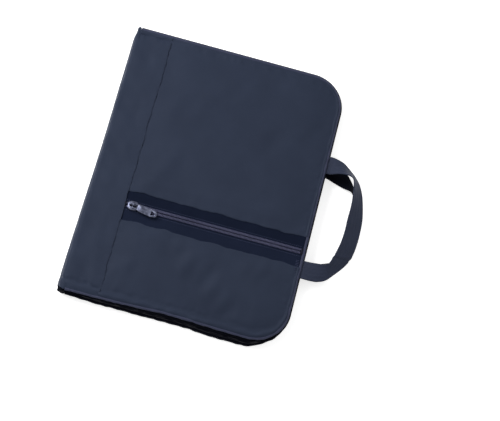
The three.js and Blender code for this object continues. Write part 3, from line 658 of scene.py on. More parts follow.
# How far the cloth goes towards either end over the covers, and over the spine from the step on
COVER_REACH = 167.4
SPINE_REACH = 169.8
REACH_STEP = (126.5, 128.0)
SPINE_END_CURVE = 5.5
SPINE_THIN = 0.75

# Round of the fold: its width, its depth and how square it is
FOLD_WIDE = 6.5
FOLD_DEEP = 5.2
FOLD_POWER = 0.55


def spine_swell(x, y):
    """How far the spine's cloth stands out past its board, by the place along it."""
    low_end = 2.9 * ease(-y, -40, 165) * ease(-x, 127, 133)
    return low_end - (1.7 * ease(y, 156, 170) + 0.95) * ease(-x, 130, 134)


def spine_half(name, seam_x, front):
    """Flat strip from the seam, the fold at the spine and half of the spine's width."""
    flat = [(seam_x + u, 0.0) for u in -graded(0, seam_x - FOLD_X, 0.5, 2.0, 6.0)]
    turn = [(FOLD_X - FOLD_WIDE * math.sin(a) ** FOLD_POWER, FOLD_DEEP * (1 - math.cos(a) ** FOLD_POWER))
            for a in np.linspace(0.06, 1.25, 12)]
    side = [(-131.9, 5.0), (-132.9, 6.5), (-133.8, 8.0), (-134.5, 9.2), (SPINE_X, MID_Z)]
    profile = np.array(flat + turn + side)
    run = run_along(profile)
    direction = np.gradient(profile, axis=0)
    normal = unit(np.stack([-direction[:, 1], direction[:, 0]], 1))
    at_x, at_z = profile[None, :, 0], profile[None, :, 1]
    rows = graded(-COVER_TOP, COVER_TOP, 0.4, 2.2)
    u = np.repeat(run[None], len(rows), 0)
    v = np.repeat(rows[:, None], len(run), 1)
    reach = np.repeat(COVER_REACH + (SPINE_REACH - COVER_REACH) * ease(-at_x, *REACH_STEP), len(rows), 0)
    round_off = SPINE_END_CURVE * ease(-profile[:, 0], 123 if front else 131.5, 134.9) ** 2
    reach = reach - round_off[None] * (v < 0)
    reach = reach + 1.3 * ease(-at_x, 125, 133) * (v > 0)
    v = v * (reach / COVER_TOP)
    end_gap = reach - np.abs(v)
    if front:
        lift = 0.7 * ease(end_gap, 0, 9) + seam_relief(u, v, 24, 0.0, 3.4)
    else:
        lift = 0.6 * (ease(u, 0, 10) * ease(end_gap, 0, 9)) + seam_relief(u, v, 25, 1.15, 3.4)
    crease = 5.6 + 5.2 * ease(-v, 100, 160) + 0.8 * waves(u, 0, 28, 26.0)
    strip = 0.95 * np.sin(np.clip(end_gap / crease, 0, 1) * math.pi) * (1 + 0.4 * waves(u, v * 0.2, 29, 13.0))
    lift += strip - 1.15 * hump(end_gap, crease, 1.7)
    lift += 0.3 * waves(u, v * 0.3, 26, 11.0) * hump(end_gap, crease + 3, 4)
    soft = 0.35 * waves(v, u * 1.3, 27, 34.0) * ease(u, 5, 20)
    lift = lift + soft * ease(end_gap, 3, 15)
    lift -= 0.4 * fade(end_gap, 0.5)
    if not front:
        lift = np.minimum(lift, 0) * 0.6
    lift = np.maximum(lift, -0.6) + 0.35 * hump(at_x, -129.8, 2.5)
    lift = lift * (1 - 0.8 * ease(u, run[-1] - 4, run[-1]))
    swell = spine_swell(at_x, v) - seam_drift(v) * fade(u, 6)
    px = at_x + normal[None, :, 0] * lift - swell
    px = np.where(at_x < -131.5, np.minimum(px, -130.7), px)
    height = at_z + normal[None, :, 1] * lift
    px_in = np.maximum(at_x - normal[None, :, 0] * SPINE_THIN - swell, px + 0.1)
    height_in = at_z - normal[None, :, 1] * SPINE_THIN
    if front:
        outer_z, inner_z = FRONT_TOP - height, FRONT_TOP - height_in
    else:
        outer_z, inner_z = np.maximum(height, 0.02), height_in
    obj = solid(name, stack(px, v, outer_z), stack(px_in, v, inner_z), COVER, np.stack([u, v], -1))
    return obj


front_seam_x = box_mm("front_spine_strip")[1][0] + 1.0
back_seam_x = box_mm("back_spine_strip")[1][0]
spine_front = spine_half("spine_cloth_front", front_seam_x, True)
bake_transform(spine_front)
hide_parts("front_spine_strip", "spine_fabric")
spine_back = spine_half("spine_cloth_back", back_seam_x, False)
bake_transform(spine_back)
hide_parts("back_spine_strip")

CAP_BEVEL = 0.6
CAP_FROM, CAP_TO = 165.95, 170.3


def spine_cap(name, sign):
    """Dark stuffing of tape at an end of the spine, under its cloth, where the closing zip's tapes end. Its
    near-black is painted shade of the spine's end.
    """
    z = np.linspace(3.0, 17.0, 15)
    back = np.minimum(-133.7 + 0.114 * (z - MID_Z) ** 2 - spine_swell(SPINE_X, sign * 168.0), -130.3)
    loop = [(-127.4, -16.0), (-127.4, -4.0), (-129.6, -2.4)] + list(zip(back, -z)) + [(-129.6, -17.6)]
    cap = plate(name, loop, *sorted((sign * CAP_FROM, sign * CAP_TO)), CAP_BEVEL, SHADED_SIDE_TAPE, count=90)
    cap.data.transform(UPRIGHT)
    place(cap, "spine", "zip_tape")


spine_cap("spine_cap_lower", -1)
spine_cap("spine_cap_upper", 1)


# Welts round both covers

# Sections as (out, up), flipped for the back
WELT_SECTION = np.array([(-1.4, -2.4), (0.2, -2.45), (1.2, -2.3), (1.6, -1.6), (1.55, -0.7), (1.15, -0.05),
                         (1.5, 0.45), (1.8, 1.15), (1.6, 1.9), (1.0, 2.4), (0.2, 2.6), (-0.6, 2.45),
                         (-1.15, 2.0), (-1.4, 1.3), (-1.4, 0.0), (-1.4, -1.2)])
PIPING = np.array([(-1.7, -0.9), (-0.5, -1.2), (0.5, -1.3), (1.2, -0.85), (1.5, 0.0), (1.3, 0.75),
                   (0.7, 1.2), (0.0, 1.35), (-0.8, 1.3), (-1.7, 1.0)])


def welt(side, section, flip, z_mid, seed, material):
    low, _ = box_mm(side + "_edge_welt")
    path = outline(1.5, low[0] + 0.2, 1.3, z_mid)
    run = run_along(path)
    path[:, 2] += 0.15 * waves(run, 0, seed + 2, 30.0)
    section = np.repeat(section[None], len(path), 0)
    if flip:
        section = (section * (1, -1))[:, ::-1]
    swell = 1 + 0.14 * waves(run, 0, seed, 14.0)[:, None]
    section[..., 0] = np.where(section[..., 0] > 0, section[..., 0] * swell, section[..., 0])
    section[..., 1] *= 1 + 0.02 * waves(run, 0, seed + 1, 22.0)[:, None]
    rim = sweep(side + "_welt", path, section, material, warp=side_sag)
    return place(rim, side + "_cover", "welt_fabric", side + "_edge_welt")


welt("front", PIPING, flip=False, z_mid=18.8, seed=61, material=WELT)
# The back welt takes the near-black copy of the welt cloth: painted shade
welt("back", WELT_SECTION, flip=True, z_mid=2.5, seed=64, material=SHADED_WELT)


# Zips

def ribbed(name, path, half_w, half_h, pitch, depth):
    """A row of closely set teeth along a path, as a rib for each tooth."""
    length = run_along(path)[-1]
    count = max(8, int(length / pitch) * 4)
    size = 1 - depth * (0.5 - 0.5 * np.cos(np.arange(count) * math.pi / 2))
    section = round_section(half_w, half_h, 2.6, 10)[None] * size[:, None, None]
    # The teeth are near-black: painted shade of the closing zip's side
    return sweep(name, resample(path, np.linspace(0, length, count)), section, SHADED_TEETH, sharp=30)


# Closing zip's tapes from the welt to the teeth, as (out, height above or below the middle)
FRONT_TAPE_LINE = np.array([(-0.9, 8.0), (1.6, 7.75), (3.2, 7.3), (3.9, 6.7), (3.6, 6.0), (2.3, 5.4),
                            (0.9, 4.6), (0.9, 3.4), (1.15, 1.9), (1.2, 1.0)])
BACK_TAPE_LINE = np.array([(-0.9, 5.9), (-0.5, 4.4), (0.35, 3.2), (0.95, 2.0), (1.15, 1.0)])


def closure_tape(side, line, facing, seed):
    """Tape of the closing zip, from its welt to its row of teeth. facing is 1 for the upper one."""
    node = side + "_closure_tape"
    low, _ = box_mm(node)
    path = outline(2.4, low[0] - 3.9, 1.6, MID_Z)
    skin = np.concatenate([line, (line - (0.45, 0))[::-1]]) * (1, facing)
    section = np.repeat(skin[None, ::facing], len(path), 0)
    sway = 0.3 * waves(run_along(path), 0, seed, 17.0)[:, None]
    section[..., 0] += sway * ease(6 - np.abs(section[..., 1]), 1, 4)
    # The tape is near-black: painted shade of the side wall
    tape = sweep(side + "_closure_ribbon", path, section, SHADED_SIDE_TAPE, warp=side_sag)
    return place(tape, side + "_cover", "zip_tape", node)


closure_tape("back", BACK_TAPE_LINE, -1, 71)
closure_tape("front", FRONT_TAPE_LINE, 1, 72)
for side, offset in (("back", -0.95), ("front", 0.95)):
    node = side + "_closure_teeth"
    low, _ = box_mm(node)
    path = side_sag(outline(2.3, low[0], 1.6, MID_Z + offset))
    place(ribbed(side + "_closure_coil", path, 0.95, 0.93, 1.6, 0.12), side + "_cover", "zip_teeth", node)


def pocket_coil(which, lean, phase):
    """A nylon coil lying along X."""
    pitch, half_w, half_h, wire, z_mid = 1.5, 1.45, 0.55, 0.34, 20.1
    node = "pocket_teeth_" + which
    low, high = box_mm(node)
    y_mid = (low[1] + high[1]) / 2 + lean
    turns = (high[0] - low[0]) / pitch
    a = np.linspace(0, 2 * math.pi * turns, int(turns * 14))
    c, s = np.cos(a + phase), np.sin(a + phase)
    x = low[0] + (high[0] - low[0]) * a / a[-1] + 0.25 * pitch * c
    path = stack(x, y_mid + half_w * np.sign(c) * np.abs(c) ** 0.7, z_mid + half_h * s)
    row = sweep("pocket_coil_" + which, path, round_section(wire, wire, 2.0, 6), TEETH,
                stack(0.0, c * half_h, s * half_w), sharp=60)
    return place(row, "front_cover", "zip_teeth", node)


def straight_tape(which, material, wavy_low, wavy_high, seed):
    node = "pocket_tape_" + which
    low, high = box_mm(node)
    ys = graded(low[1], high[1], 0.6, 1.6, 3.0)
    xs = graded(low[0], high[0], 0.8, 2.4, 5.0)
    y, x = np.meshgrid(ys, xs, indexing="ij")
    drift = (wavy_low * waves(x, 0, seed, 26.0) * (high[1] - y) / (high[1] - low[1])
             + wavy_high * waves(x, 0, seed + 1, 26.0) * (y - low[1]) / (high[1] - low[1]))
    z = high[2] + 0.12 * waves(x, y * 0.6, seed + 2, 18.0)
    tape = solid("pocket_ribbon_" + which, stack(x, y + drift, z), stack(x, y + drift, low[2]), material)
    return place(tape, "front_cover", "zip_tape", node)


# The upper tape takes the darker copy: painted shade under the hem
straight_tape("upper", SHADED_UPPER_TAPE, 0.12, 0.0, 81)
straight_tape("lower", TAPE, 0.0, 0.12, 84)
pocket_coil("upper", -0.35, 0.0)
pocket_coil("lower", 0.35, math.pi)


def stop_clip(name, body, node):
    """A small metal clamp over the end of a zip's rows."""
    low, high = box_mm(node)
    mid, half = (low + high) / 2, (high - low) / 2
    long_axis = int(np.argmax(half))
    path = np.repeat(mid[None], 7, 0)
    path[:, long_axis] = np.linspace(low[long_axis], high[long_axis], 7)
    first, second = {0: (1, 2), 1: (0, 2), 2: (1, 0)}[long_axis]
    up = (1, 0, 0) if long_axis == 2 else (0, 0, 1)
    swell = np.array([0.7, 0.95, 1, 1, 1, 0.95, 0.7])[:, None, None]
    section = round_section(half[first], half[second], 3.0, 16)[None] * swell
    return place(sweep(name, path, section, DARK_STOP_AND_SHADE, up), body, "zip_metal", node)


stop_clip("pocket_end_clip", "front_cover", "pocket_bottom_stop")
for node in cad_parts:
    if node.startswith("pocket_top_stop") or node.endswith("pocket_top_stop"):
        stop_clip(node + "_clip", "front_cover", node)
stop_clip("back_closure_clip", "back_cover", "back_closure_top_stop")
stop_clip("front_closure_clip", "front_cover", "front_closure_top_stop")
stop_clip("closure_end_clip", "back_cover", "closure_bottom_stop")


# Half the bail's span, as a share of its slider's length
BAIL_REACH = 4.0 / 15.5


def zip_slider(name, node, frame_at, length, width, low_plate, high_plate, bail_top):
    """A domed shield over a flat one, post, flanges and bail. X runs along the zip, Z out of its tape."""
    def dome(px, py):
        return 0.5 * (1 - (2 * px / length) ** 2 - (2 * py / width) ** 2)

    egg = round_section(length / 2, width / 2, 2.3, 72)
    egg[:, 0] += np.where(egg[:, 0] < 0, 0.9 * hump(egg[:, 1], 0, 1.6), 0)
    post = rounded(mirrored([(length * 0.2, 1.4), (length * 0.42, 0.8)]), 0.4)
    bail_shade = rounded(mirrored([(-length * 0.3, 1.6), (length * 0.34, 1.6)]), 1.1)
    pieces = [plate("shield_a", egg, *high_plate, 0.5, METAL, bow=dome),
              plate("shield_b", egg * 0.97, *low_plate, 0.35, METAL),
              plate("post", post, low_plate[1] - 0.1, high_plate[0] + 0.3, 0.15, METAL, count=32),
              # A near-black plate under the bail: painted shade of the hollow between bail and shield
              plate("bail_shade", bail_shade, high_plate[1] - 0.1, high_plate[1] + 0.05, 0.04, DARK_STOP_AND_SHADE, bow=dome,
                    count=48)]
    for sign in (-1, 1):
        rim = [(length * along, sign * width * across, high_plate[0] - 0.35)
               for along, across in ((-0.4, 0.36), (-0.1, 0.465), (0.2, 0.43), (0.38, 0.28))]
        pieces.append(sweep("flange", spline(rim, 16), round_section(0.4, 0.75, 3.0, 10), METAL))
    reach = BAIL_REACH * length
    rise = [(1, high_plate[1] - 0.2), (1, bail_top - 1.0), (0.8, bail_top - 0.35)]
    arch = [(-reach * out, 0, z) for out, z in rise] + [(0, 0, bail_top - 0.2)]
    arch += [(reach * out, 0, z) for out, z in rise[::-1]]
    pieces.append(sweep("bail", spline(arch, 44), round_section(1.05, 0.36, 3.0, 12), METAL, up=(0, -1, 0)))
    whole = join(name, pieces)
    whole.data.transform(frame_at)
    return place(whole, node, "zip_metal", node)


PULL_THICK = 1.15


def zip_pull(name, node, frame_at, askew, length, neck, wide, eye_half, eye_end, finger):
    """A flat tab along its frame's +X: an eye round the bail, a pressed field and a triangular hole."""
    split = eye_end + 1.1
    z = PULL_THICK / 2
    rim = rounded(mirrored([(split - 1.2, neck / 2), (split + 1.4, wide * 0.44), (length * 0.8, wide / 2),
                            (length, wide * 0.3)]), [0.4, 1.2, 2.6, 2.0, 2.0, 2.6, 1.2, 0.4])
    hole_x, hole_y = length - 7.2 * finger / 5.2, finger / 2 + 0.2
    hole = rounded([(hole_x, -hole_y), (length - 2.2, 0), (hole_x, hole_y)], [1.0, 1.2, 1.0])
    yoke = rounded(mirrored([(-0.62, neck / 2), (split, neck / 2)]), [1.4, 0.4, 0.4, 1.4])
    eye = rounded(mirrored([(0.55, eye_half), (eye_end, eye_half)]), 0.8)
    field = rounded(mirrored([(split + 2.0, wide * 0.27), (length * 0.66, wide * 0.3)]), 1.2)
    pull = join(name, [plate("tab", rim, -z, z, 0.35, METAL, hole=hole, count=132),
                       plate("yoke", yoke, -z, z, 0.3, METAL, hole=eye, count=80),
                       plate("field", field, z - 0.2, z + 0.16, 0.16, METAL, count=48)])
    pull.data.transform(frame_at @ Matrix.Rotation(math.radians(askew), 4, "Z"))
    return place(pull, node, "zip_metal", node)


def at_mm(x, y, z):
    return Matrix.Translation(Vector((x * MM, y * MM, z * MM)))


# The pocket's slider lies on the chain, its pull a little askew
low, high = box_mm("pocket_slider")
SLIDER_X = (low[0] + high[0]) / 2
CHAIN_Y = (low[1] + high[1]) / 2
CHAIN_Z = 19.2
zip_slider("pocket_runner", "pocket_slider", at_mm(SLIDER_X, CHAIN_Y, CHAIN_Z), length=high[0] - low[0] - 1.4,
           width=high[1] - low[1] + 0.4, low_plate=(-1.6, -0.6), high_plate=(1.85, 2.95), bail_top=5.55)
low, high = box_mm("pocket_pull")
zip_pull("pocket_pull_tab", "pocket_pull", at_mm(SLIDER_X, CHAIN_Y, (low[2] + high[2]) / 2), askew=-9.0,
         length=30.0, neck=7.0, wide=9.8, eye_half=1.75, eye_end=5.0, finger=5.2)

# The closing zip's slider stands on the top edge, its face along +Y
CLOSURE_CHAIN_Y = 168.4
CLOSURE_PIVOT_X = -114.0
low, high = box_mm("closure_slider")
slider_at = at_mm((low[0] + high[0]) / 2, CLOSURE_CHAIN_Y, MID_Z) @ UPRIGHT
zip_slider("closure_runner", "closure_slider", slider_at, length=high[0] - low[0] - 0.4,
           width=high[2] - low[2] - 0.1, low_plate=(-3.2, -2.4), high_plate=(0.35, 1.2), bail_top=4.0)
low, high = box_mm("closure_pull")
zip_pull("closure_pull_tab", "closure_pull", at_mm(CLOSURE_PIVOT_X, (low[1] + high[1]) / 2, MID_Z) @ UPRIGHT,
         askew=0.0, length=24.0, neck=6.0, wide=7.4, eye_half=1.5, eye_end=4.1, finger=4.0)


# Stitches: bar tacks and rows of thread

def stitches(name, spots, length, thick):
    """Short raised threads. spots are (x, y, z, direction in degrees)."""
    points, faces = [], []
    ring = round_section(thick / 2, thick * 0.36, 2.0, 8)
    stations = np.linspace(-1, 1, 7)
    n, last = len(ring), (len(stations) - 1) * len(ring)
    quads = grid_faces(len(stations), n)
    for sx, sy, sz, way in spots:
        c, s = math.cos(math.radians(way)), math.sin(math.radians(way))
        base = len(points)
        for t in stations:
            fat = math.sqrt(max(0.06, 1 - abs(t) ** 3))
            rise = -0.28 * thick * t * t
            for u, w in ring:
                points.append((sx + c * t * length / 2 - s * u * fat, sy + s * t * length / 2 + c * u * fat,
                               sz + rise + w * fat))
        faces += (quads + base).tolist()
        faces += [[base + i for i in range(n)][::-1], [base + last + i for i in range(n)]]
    points = np.array(points)
    return place(make(name, points, faces, THREAD, points[:, :2]), "front_cover", "cover_fabric")


STITCH_PITCH = 2.6
STITCH_ROW = 5.9
STITCH_Z = 19.42
low, high = box_mm("pocket_tape_upper")
spots = [(x, CHAIN_Y + side * STITCH_ROW, STITCH_Z, 0)
         for x in np.arange(low[0] + 2, high[0] - 1, STITCH_PITCH) for side in (-1, 1)]
stitches("tape_stitches", spots, length=1.9, thick=0.55)

# Bar tack at the pocket's corner, climbing from the tape to the pocket's cloth
TACK_X, TACK_Y, TACK_PITCH = 124.6, -63.0, 1.9
spots = [(TACK_X, TACK_Y - TACK_PITCH * k, 19.45 + 1.2 * float(ease(k, 3.0, 4.6)), 3 * (-1) ** k)
         for k in range(7)]
stitches("pocket_corner_tack", spots, length=5.0, thick=0.6)


# Webbing handles

def strap(name, stations, thickness, material, count, fold=None):
    """Webbing from its outer and inner edge's points at each station, creased at fold if one is given."""
    edges = spline(stations, count)
    outer, inner = edges[:, :3], edges[:, 3:]
    mid = (outer + inner) / 2
    tangent = unit(np.gradient(mid, axis=0))
    width = np.linalg.norm(inner - outer, axis=1)[:, None]
    cross = (inner - outer) / width
    normal = unit(np.cross(tangent, cross))
    normal *= np.sign(normal[0, 2])
    inner_u = np.linspace(-0.88, 0.88, 33)
    u = np.concatenate([[-1, -0.985, -0.95], inner_u, [0.95, 0.985, 1]])
    half = thickness / 2 * np.array([0.35, 0.75, 0.97] + [1.0] * len(inner_u) + [0.97, 0.75, 0.35])
    run = run_along(mid)
    ripple = 0.12 * waves(u[None] * 9, run[:, None] * 0.5, 91, 14.0)
    for groove in (-0.62, -0.2, 0.22, 0.64):
        ripple = ripple - 0.16 * hump(u[None], groove, 0.07)
    if fold is not None:
        from_fold = run[:, None] - run[int(fold * (count - 1))] - 1.5 * u[None]
        ripple = ripple - 0.85 * hump(from_fold, 0, 1.5) + 0.6 * hump(from_fold, -3.6, 2.4)
    base = mid[:, None] + cross[:, None] * (u[None, :, None] * width[:, None] / 2)
    top = base + normal[:, None] * (half[None, :, None] + ripple[..., None])
    bottom = base + normal[:, None] * (-half[None, :, None] + ripple[..., None])
    uv = np.stack(np.broadcast_arrays(u[None] * 11, run[:, None]), -1)
    return solid(name, top, bottom, material, uv, sharp=60)


def handle(strap_piece, side):
    """Bakes a strap's placement into its mesh and hides the CAD's handle on that side."""
    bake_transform(strap_piece)
    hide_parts(side + "_handle")


FRONT_STRAP = [(132.3, 73.1, 17.65, 132.3, 51.1, 17.65), (136.5, 73.2, 17.8, 136.5, 51.2, 18.3),
               (144.1, 71.4, 18.3, 143.1, 51.8, 24.0), (151.5, 68.7, 17.5, 150.4, 52.4, 28.0),
               (161.4, 62.2, 14.5, 158.8, 51.9, 30.2), (168.1, 57.4, 12.0, 164.7, 48.8, 30.2),
               (175.6, 48.9, 10.5, 167.6, 39.0, 28.0), (182.2, 33.7, 10.5, 169.5, 22.5, 25.0),
               (187.6, 9.3, 11.0, 169.4, 0.9, 22.5), (188.6, -7.5, 11.0, 169.5, -13.4, 21.5),
               (188.3, -22.2, 10.5, 168.4, -27.0, 21.5), (187.0, -34.5, 9.5, 166.4, -38.0, 21.5),
               (183.9, -45.0, 8.5, 164.2, -46.6, 21.0), (178.4, -54.8, 8.5, 161.6, -54.4, 19.6),
               (170.6, -65.2, 9.5, 158.9, -58.0, 18.8), (162.4, -75.4, 11.5, 154.6, -59.3, 18.4),
               (153.4, -80.6, 14.0, 149.4, -59.8, 18.2), (145.0, -82.4, 16.2, 143.6, -60.4, 18.0),
               (137.5, -82.9, 17.5, 136.8, -60.9, 17.8), (132.3, -82.9, 17.65, 132.3, -60.9, 17.65)]
BACK_STRAP = [(132.3, 73.0, 1.8, 132.3, 51.1, 1.8), (137.0, 72.6, 1.8, 137.0, 50.3, 1.8),
              (146.5, 69.5, 2.0, 146.3, 47.2, 2.0), (158.9, 62.1, 2.0, 157.0, 43.6, 3.6),
              (168.9, 49.0, 1.8, 168.3, 38.4, 10.5), (177.0, 32.0, 1.4, 173.4, 24.0, 12.0),
              (182.5, 2.0, 1.2, 175.4, -2.0, 12.0), (181.8, -30.0, 1.2, 174.6, -32.0, 11.0),
              (175.5, -53.0, 1.3, 169.0, -48.0, 9.5), (157.0, -72.0, 1.6, 152.5, -56.0, 7.0),
              (141.0, -77.6, 1.8, 140.0, -57.5, 2.4), (132.3, -77.9, 1.8, 132.3, -55.9, 1.8)]
STRAP_THICK = 1.5
handle(strap("front_strap", FRONT_STRAP, STRAP_THICK, WEBBING, 190, fold=0.715), "front")
# The back strap takes the near-black webbing: painted shade
handle(strap("back_strap", BACK_STRAP, STRAP_THICK, SHADED_WEBBING, 150), "back")


def strap_end(side, which, material):
    """The end of a handle, sewn in between the cover's layers."""
    node = f"{side}_handle_sewn_end_{which}"
    low, high = box_mm(node)
    z_mid = (low[2] + high[2]) / 2
    stations = [(v, high[1], z_mid, v, low[1], z_mid) for v in np.linspace(low[0], 132.2, 9)]
    end = strap(f"{side}_strap_end_{which}", stations, high[2] - low[2] - 0.1, material, 24)
    return place(end, side + "_cover", "webbing", node)


for side, material in (("front", WEBBING), ("back", SHADED_WEBBING)):
    for which in ("upper", "lower"):
        strap_end(side, which, material)


# Inside: linings, pad, slot panel, pen loop and pockets

def layer(x, y, low, high, drop, face, lift=0.0):
    """A sheet in its box: the shown side drop deep, the other lift in. face is 1 where it shows upwards."""
    if face > 0:
        return stack(x, y, high[2] - drop), stack(x, y, low[2] + lift)
    return stack(x, y, high[2] - lift), stack(x, y, low[2] + drop)


def lining_panel(side, face, seed):
    """A cover's lining, a little wavy on its shown side."""
    node = side + "_lining"
    low, high = box_mm(node)
    inset = COVER_RIGHT - high[0]
    x, y = panel_grid(low[0], inset, low[1], high[1], 0.8, 3.0)
    rim = 0.2 * fade(edge_distance(x, y) - inset, 1.0)
    top, bottom = layer(x, y, low, high, np.abs(0.12 * waves(x, y, seed, 35.0)) + rim, face)
    if face > 0:
        top, bottom = side_sag(top), side_sag(bottom)
    lining = solid(side + "_inner_lining", top, bottom, LINING)
    return place(lining, side + "_cover", "lining", node)


lining_panel("back", 1, 101)
lining_panel("front", -1, 102)


def rectangle(low, high):
    """Points over a box, with their distances from its sides and from its ends."""
    xs = graded(low[0], high[0], 0.5, 3.0)
    ys = graded(low[1], high[1], 0.5, 3.0)
    y, x = np.meshgrid(ys, xs, indexing="ij")
    return x, y, np.minimum(x - low[0], high[0] - x), np.minimum(y - low[1], high[1] - y)


def stitch_dips(along):
    """Depth of a row of stitches, from thread to thread."""
    return 0.6 + 0.4 * np.sin(along * 2.1)


def flat_piece(name, body, node, material, slot_name, seed, face, amount, hem=None):
    """A rectangular sheet with rounded rims, a little wavy, with a row of stitches at hem if it is given."""
    low, high = box_mm(node)
    x, y, sides, ends = rectangle(low, high)
    edge = np.minimum(sides, ends)
    drop = 0.35 * fade(edge, 0.5) + amount * np.abs(waves(x, y, seed, 40.0))
    if hem:
        along = np.where(sides < ends, y, x)
        drop = drop + 0.25 * hump(edge, hem, 0.5) * stitch_dips(along)
    drop = np.minimum(drop, (high[2] - low[2]) * 0.8)
    piece = solid(name, *layer(x, y, low, high, drop, face), material)
    return place(piece, body, slot_name, node)


def pocket_sheet(name, body, node, seed, face):
    """A patch pocket's cloth, open at its top: thin over what it holds, down to the lining where sewn."""
    low, high = box_mm(node)
    x, y, sides, _ = rectangle(low, high)
    foot = y - low[1]
    mouth = high[1] - y
    sewn = np.minimum(sides, foot)
    along = np.where(sides < foot, y, x)
    room = high[2] - low[2]
    slack = 0.125 * (1 + waves(x, y, seed, 45.0)) * ease(sewn, 2, 20)
    rise = room - 0.12 - 0.3 * fade(sewn, 0.6) - slack
    rise = rise - 0.18 * hump(sewn, 3.2, 0.45) * stitch_dips(along)
    rise = rise + 0.1 * ease(6 - mouth, 0, 1.5) - 0.15 * hump(mouth, 6.3, 0.5)
    rise = np.clip(rise, 0.3, room)
    under = np.where(sewn < 2.2, 0.0, np.maximum(rise - 0.5, 0))
    sheet = solid(name, *layer(x, y, low, high, room - rise, face, under), LINING)
    return place(sheet, body, "lining", node)


pocket_sheet("slot_cloth", "back_cover", "notepad_slot_panel", 111, 1)
pocket_sheet("document_cloth", "front_cover", "document_pocket", 112, -1)
for k in (1, 2, 3):
    flat_piece(f"card_cloth_{k}", "front_cover", f"card_pocket_{k}", LINING, "lining", seed=112 + k, face=-1,
               amount=0.05, hem=2.2)
flat_piece("pad_card", "back_cover", "notepad_backing", CARD, "backing_card", seed=117, face=1, amount=0.04)


def spine_inner_lining():
    """Lining of the spine, widened to cover the whole of its board."""
    low, high = box_mm("spine_lining")
    low[2], high[2] = 1.6, 18.4
    ys = graded(low[1], high[1], 0.6, 3.0)
    zs = graded(low[2], high[2], 0.4, 1.2, 2.0)
    z, y = np.meshgrid(zs, ys, indexing="ij")
    face = high[0] - 0.12 * (1 + waves(y, z * 2, 121, 30.0))
    face = face - 0.2 * fade(np.minimum(z - low[2], high[2] - z), 0.5)
    lining = solid("spine_inner_lining", stack(face, y, z), stack(low[0], y, z), LINING, np.stack([y, z], -1))
    place(lining, "spine", "lining", "spine_lining")


spine_inner_lining()


def pen_sleeve():
    """Elastic loop for a pen: a ribbed tube, sewn flat to the lining."""
    low, high = box_mm("pen_loop")
    mid_x, _, mid_z = (low + high) / 2
    half_x, _, half_z = (high - low) / 2
    ys = np.linspace(low[1], high[1], 61)
    rib = 0.12 * np.cos((ys - low[1]) * 2 * math.pi / 1.0)
    rib = rib - 0.25 * fade(np.minimum(ys - low[1], high[1] - ys), 0.4)
    sides = 40
    outer = round_section(half_x, half_z, 2.8, sides)
    inner = round_section(half_x - 0.9, half_z - 0.9, 2.8, sides)
    rings = [(outer * (1 + r / half_x), y) for y, r in zip(ys, rib)] + [(inner, y) for y in ys[::-1]]
    points = np.concatenate([stack(mid_x + ring[:, 0], y, mid_z + ring[:, 1]) for ring, y in rings])
    faces = grid_faces(len(rings), sides, wrap_rows=True).tolist()
    obj = make("pen_sleeve", points, faces, ELASTIC, points[:, :2], 60)
    place(obj, "back_cover", "elastic", "pen_loop")


pen_sleeve()


def head_tape():
    """Binding over the pad's head: down its back, across the edge and over the first leaf."""
    low, high = box_mm("notepad_head_binding")
    thick = 0.4
    (front_y, foot), (back_y, top) = low[1:], high[1:]
    line = [(front_y, top), (back_y - 0.5, top), (back_y - 0.15, top - 0.15), (back_y, top - 0.5),
            (back_y, foot + 1.0), (back_y, foot)]
    inner = [(back_y - thick, foot), (back_y - thick, foot + 1.0), (back_y - thick, top - 1.2),
             (back_y - thick, top - thick), (back_y - 1.3, top - thick), (front_y, top - thick)]
    loop = np.array(line + inner)
    xs = graded(low[0], high[0], 0.6, 3.0)
    section = np.repeat(np.stack([-(loop[:, 0] - back_y), loop[:, 1] - foot], 1)[None], len(xs), 0)
    section[:, 0, 0] += 0.25 * waves(xs, 0, 123, 9.0)
    section[:, -1, 0] = section[:, 0, 0]
    section[..., 1] -= (0.03 * (1 + waves(xs, 0, 124, 20.0)))[:, None] * (section[..., 1] > 3)
    obj = sweep("head_tape", stack(xs, back_y, foot), section, BINDING)
    place(obj, "back_cover", "binding", "notepad_head_binding")


head_tape()


def page_block():
    """The pad's leaves: a block whose sides show the edges of the sheets."""
    low, high = box_mm("notepad_paper")
    head = high[1] - 0.2
    corners = [(low[0], low[1]), (high[0], low[1]), (high[0], head), (low[0], head)]
    loop = even_loop(rounded(corners, 1.2, 4), 360)
    normal = loop_normals(loop)
    rng = np.random.default_rng(7)
    levels = 25
    heights = np.linspace(low[2], high[2], levels)
    rings = [np.column_stack([loop - normal * (0.05 + 0.18 * rng.random()) * (k % 2), np.full(len(loop), v)])
             for k, v in enumerate(heights)]
    n = len(loop)
    faces = grid_faces(levels, n).tolist()
    faces += [list(range(n))[::-1], [(levels - 1) * n + i for i in range(n)]]
    points = np.concatenate(rings)
    obj = make("pad_leaves", points, faces, PAPER, points[:, :2], 30)
    place(obj, "back_cover", "paper", "notepad_paper")


page_block()


# Floor, world and lamps

def seen_directly(tree):
    """1 where the camera looks, also by a gloss or through glass, and 0 where light is gathered."""
    path = tree.nodes.new("ShaderNodeLightPath")
    by_gloss = combine(tree, "MAXIMUM", path.outputs["Is Glossy Ray"], path.outputs["Is Transmission Ray"])
    return combine(tree, "MAXIMUM", path.outputs["Is Camera Ray"], by_gloss)


FLOOR_SIZE = 16.0
FLOOR_STEPS = 16
FLOOR_Z = -0.0002
FLOOR_GLOW = 0.7
ROOM_LIGHT = 0.36


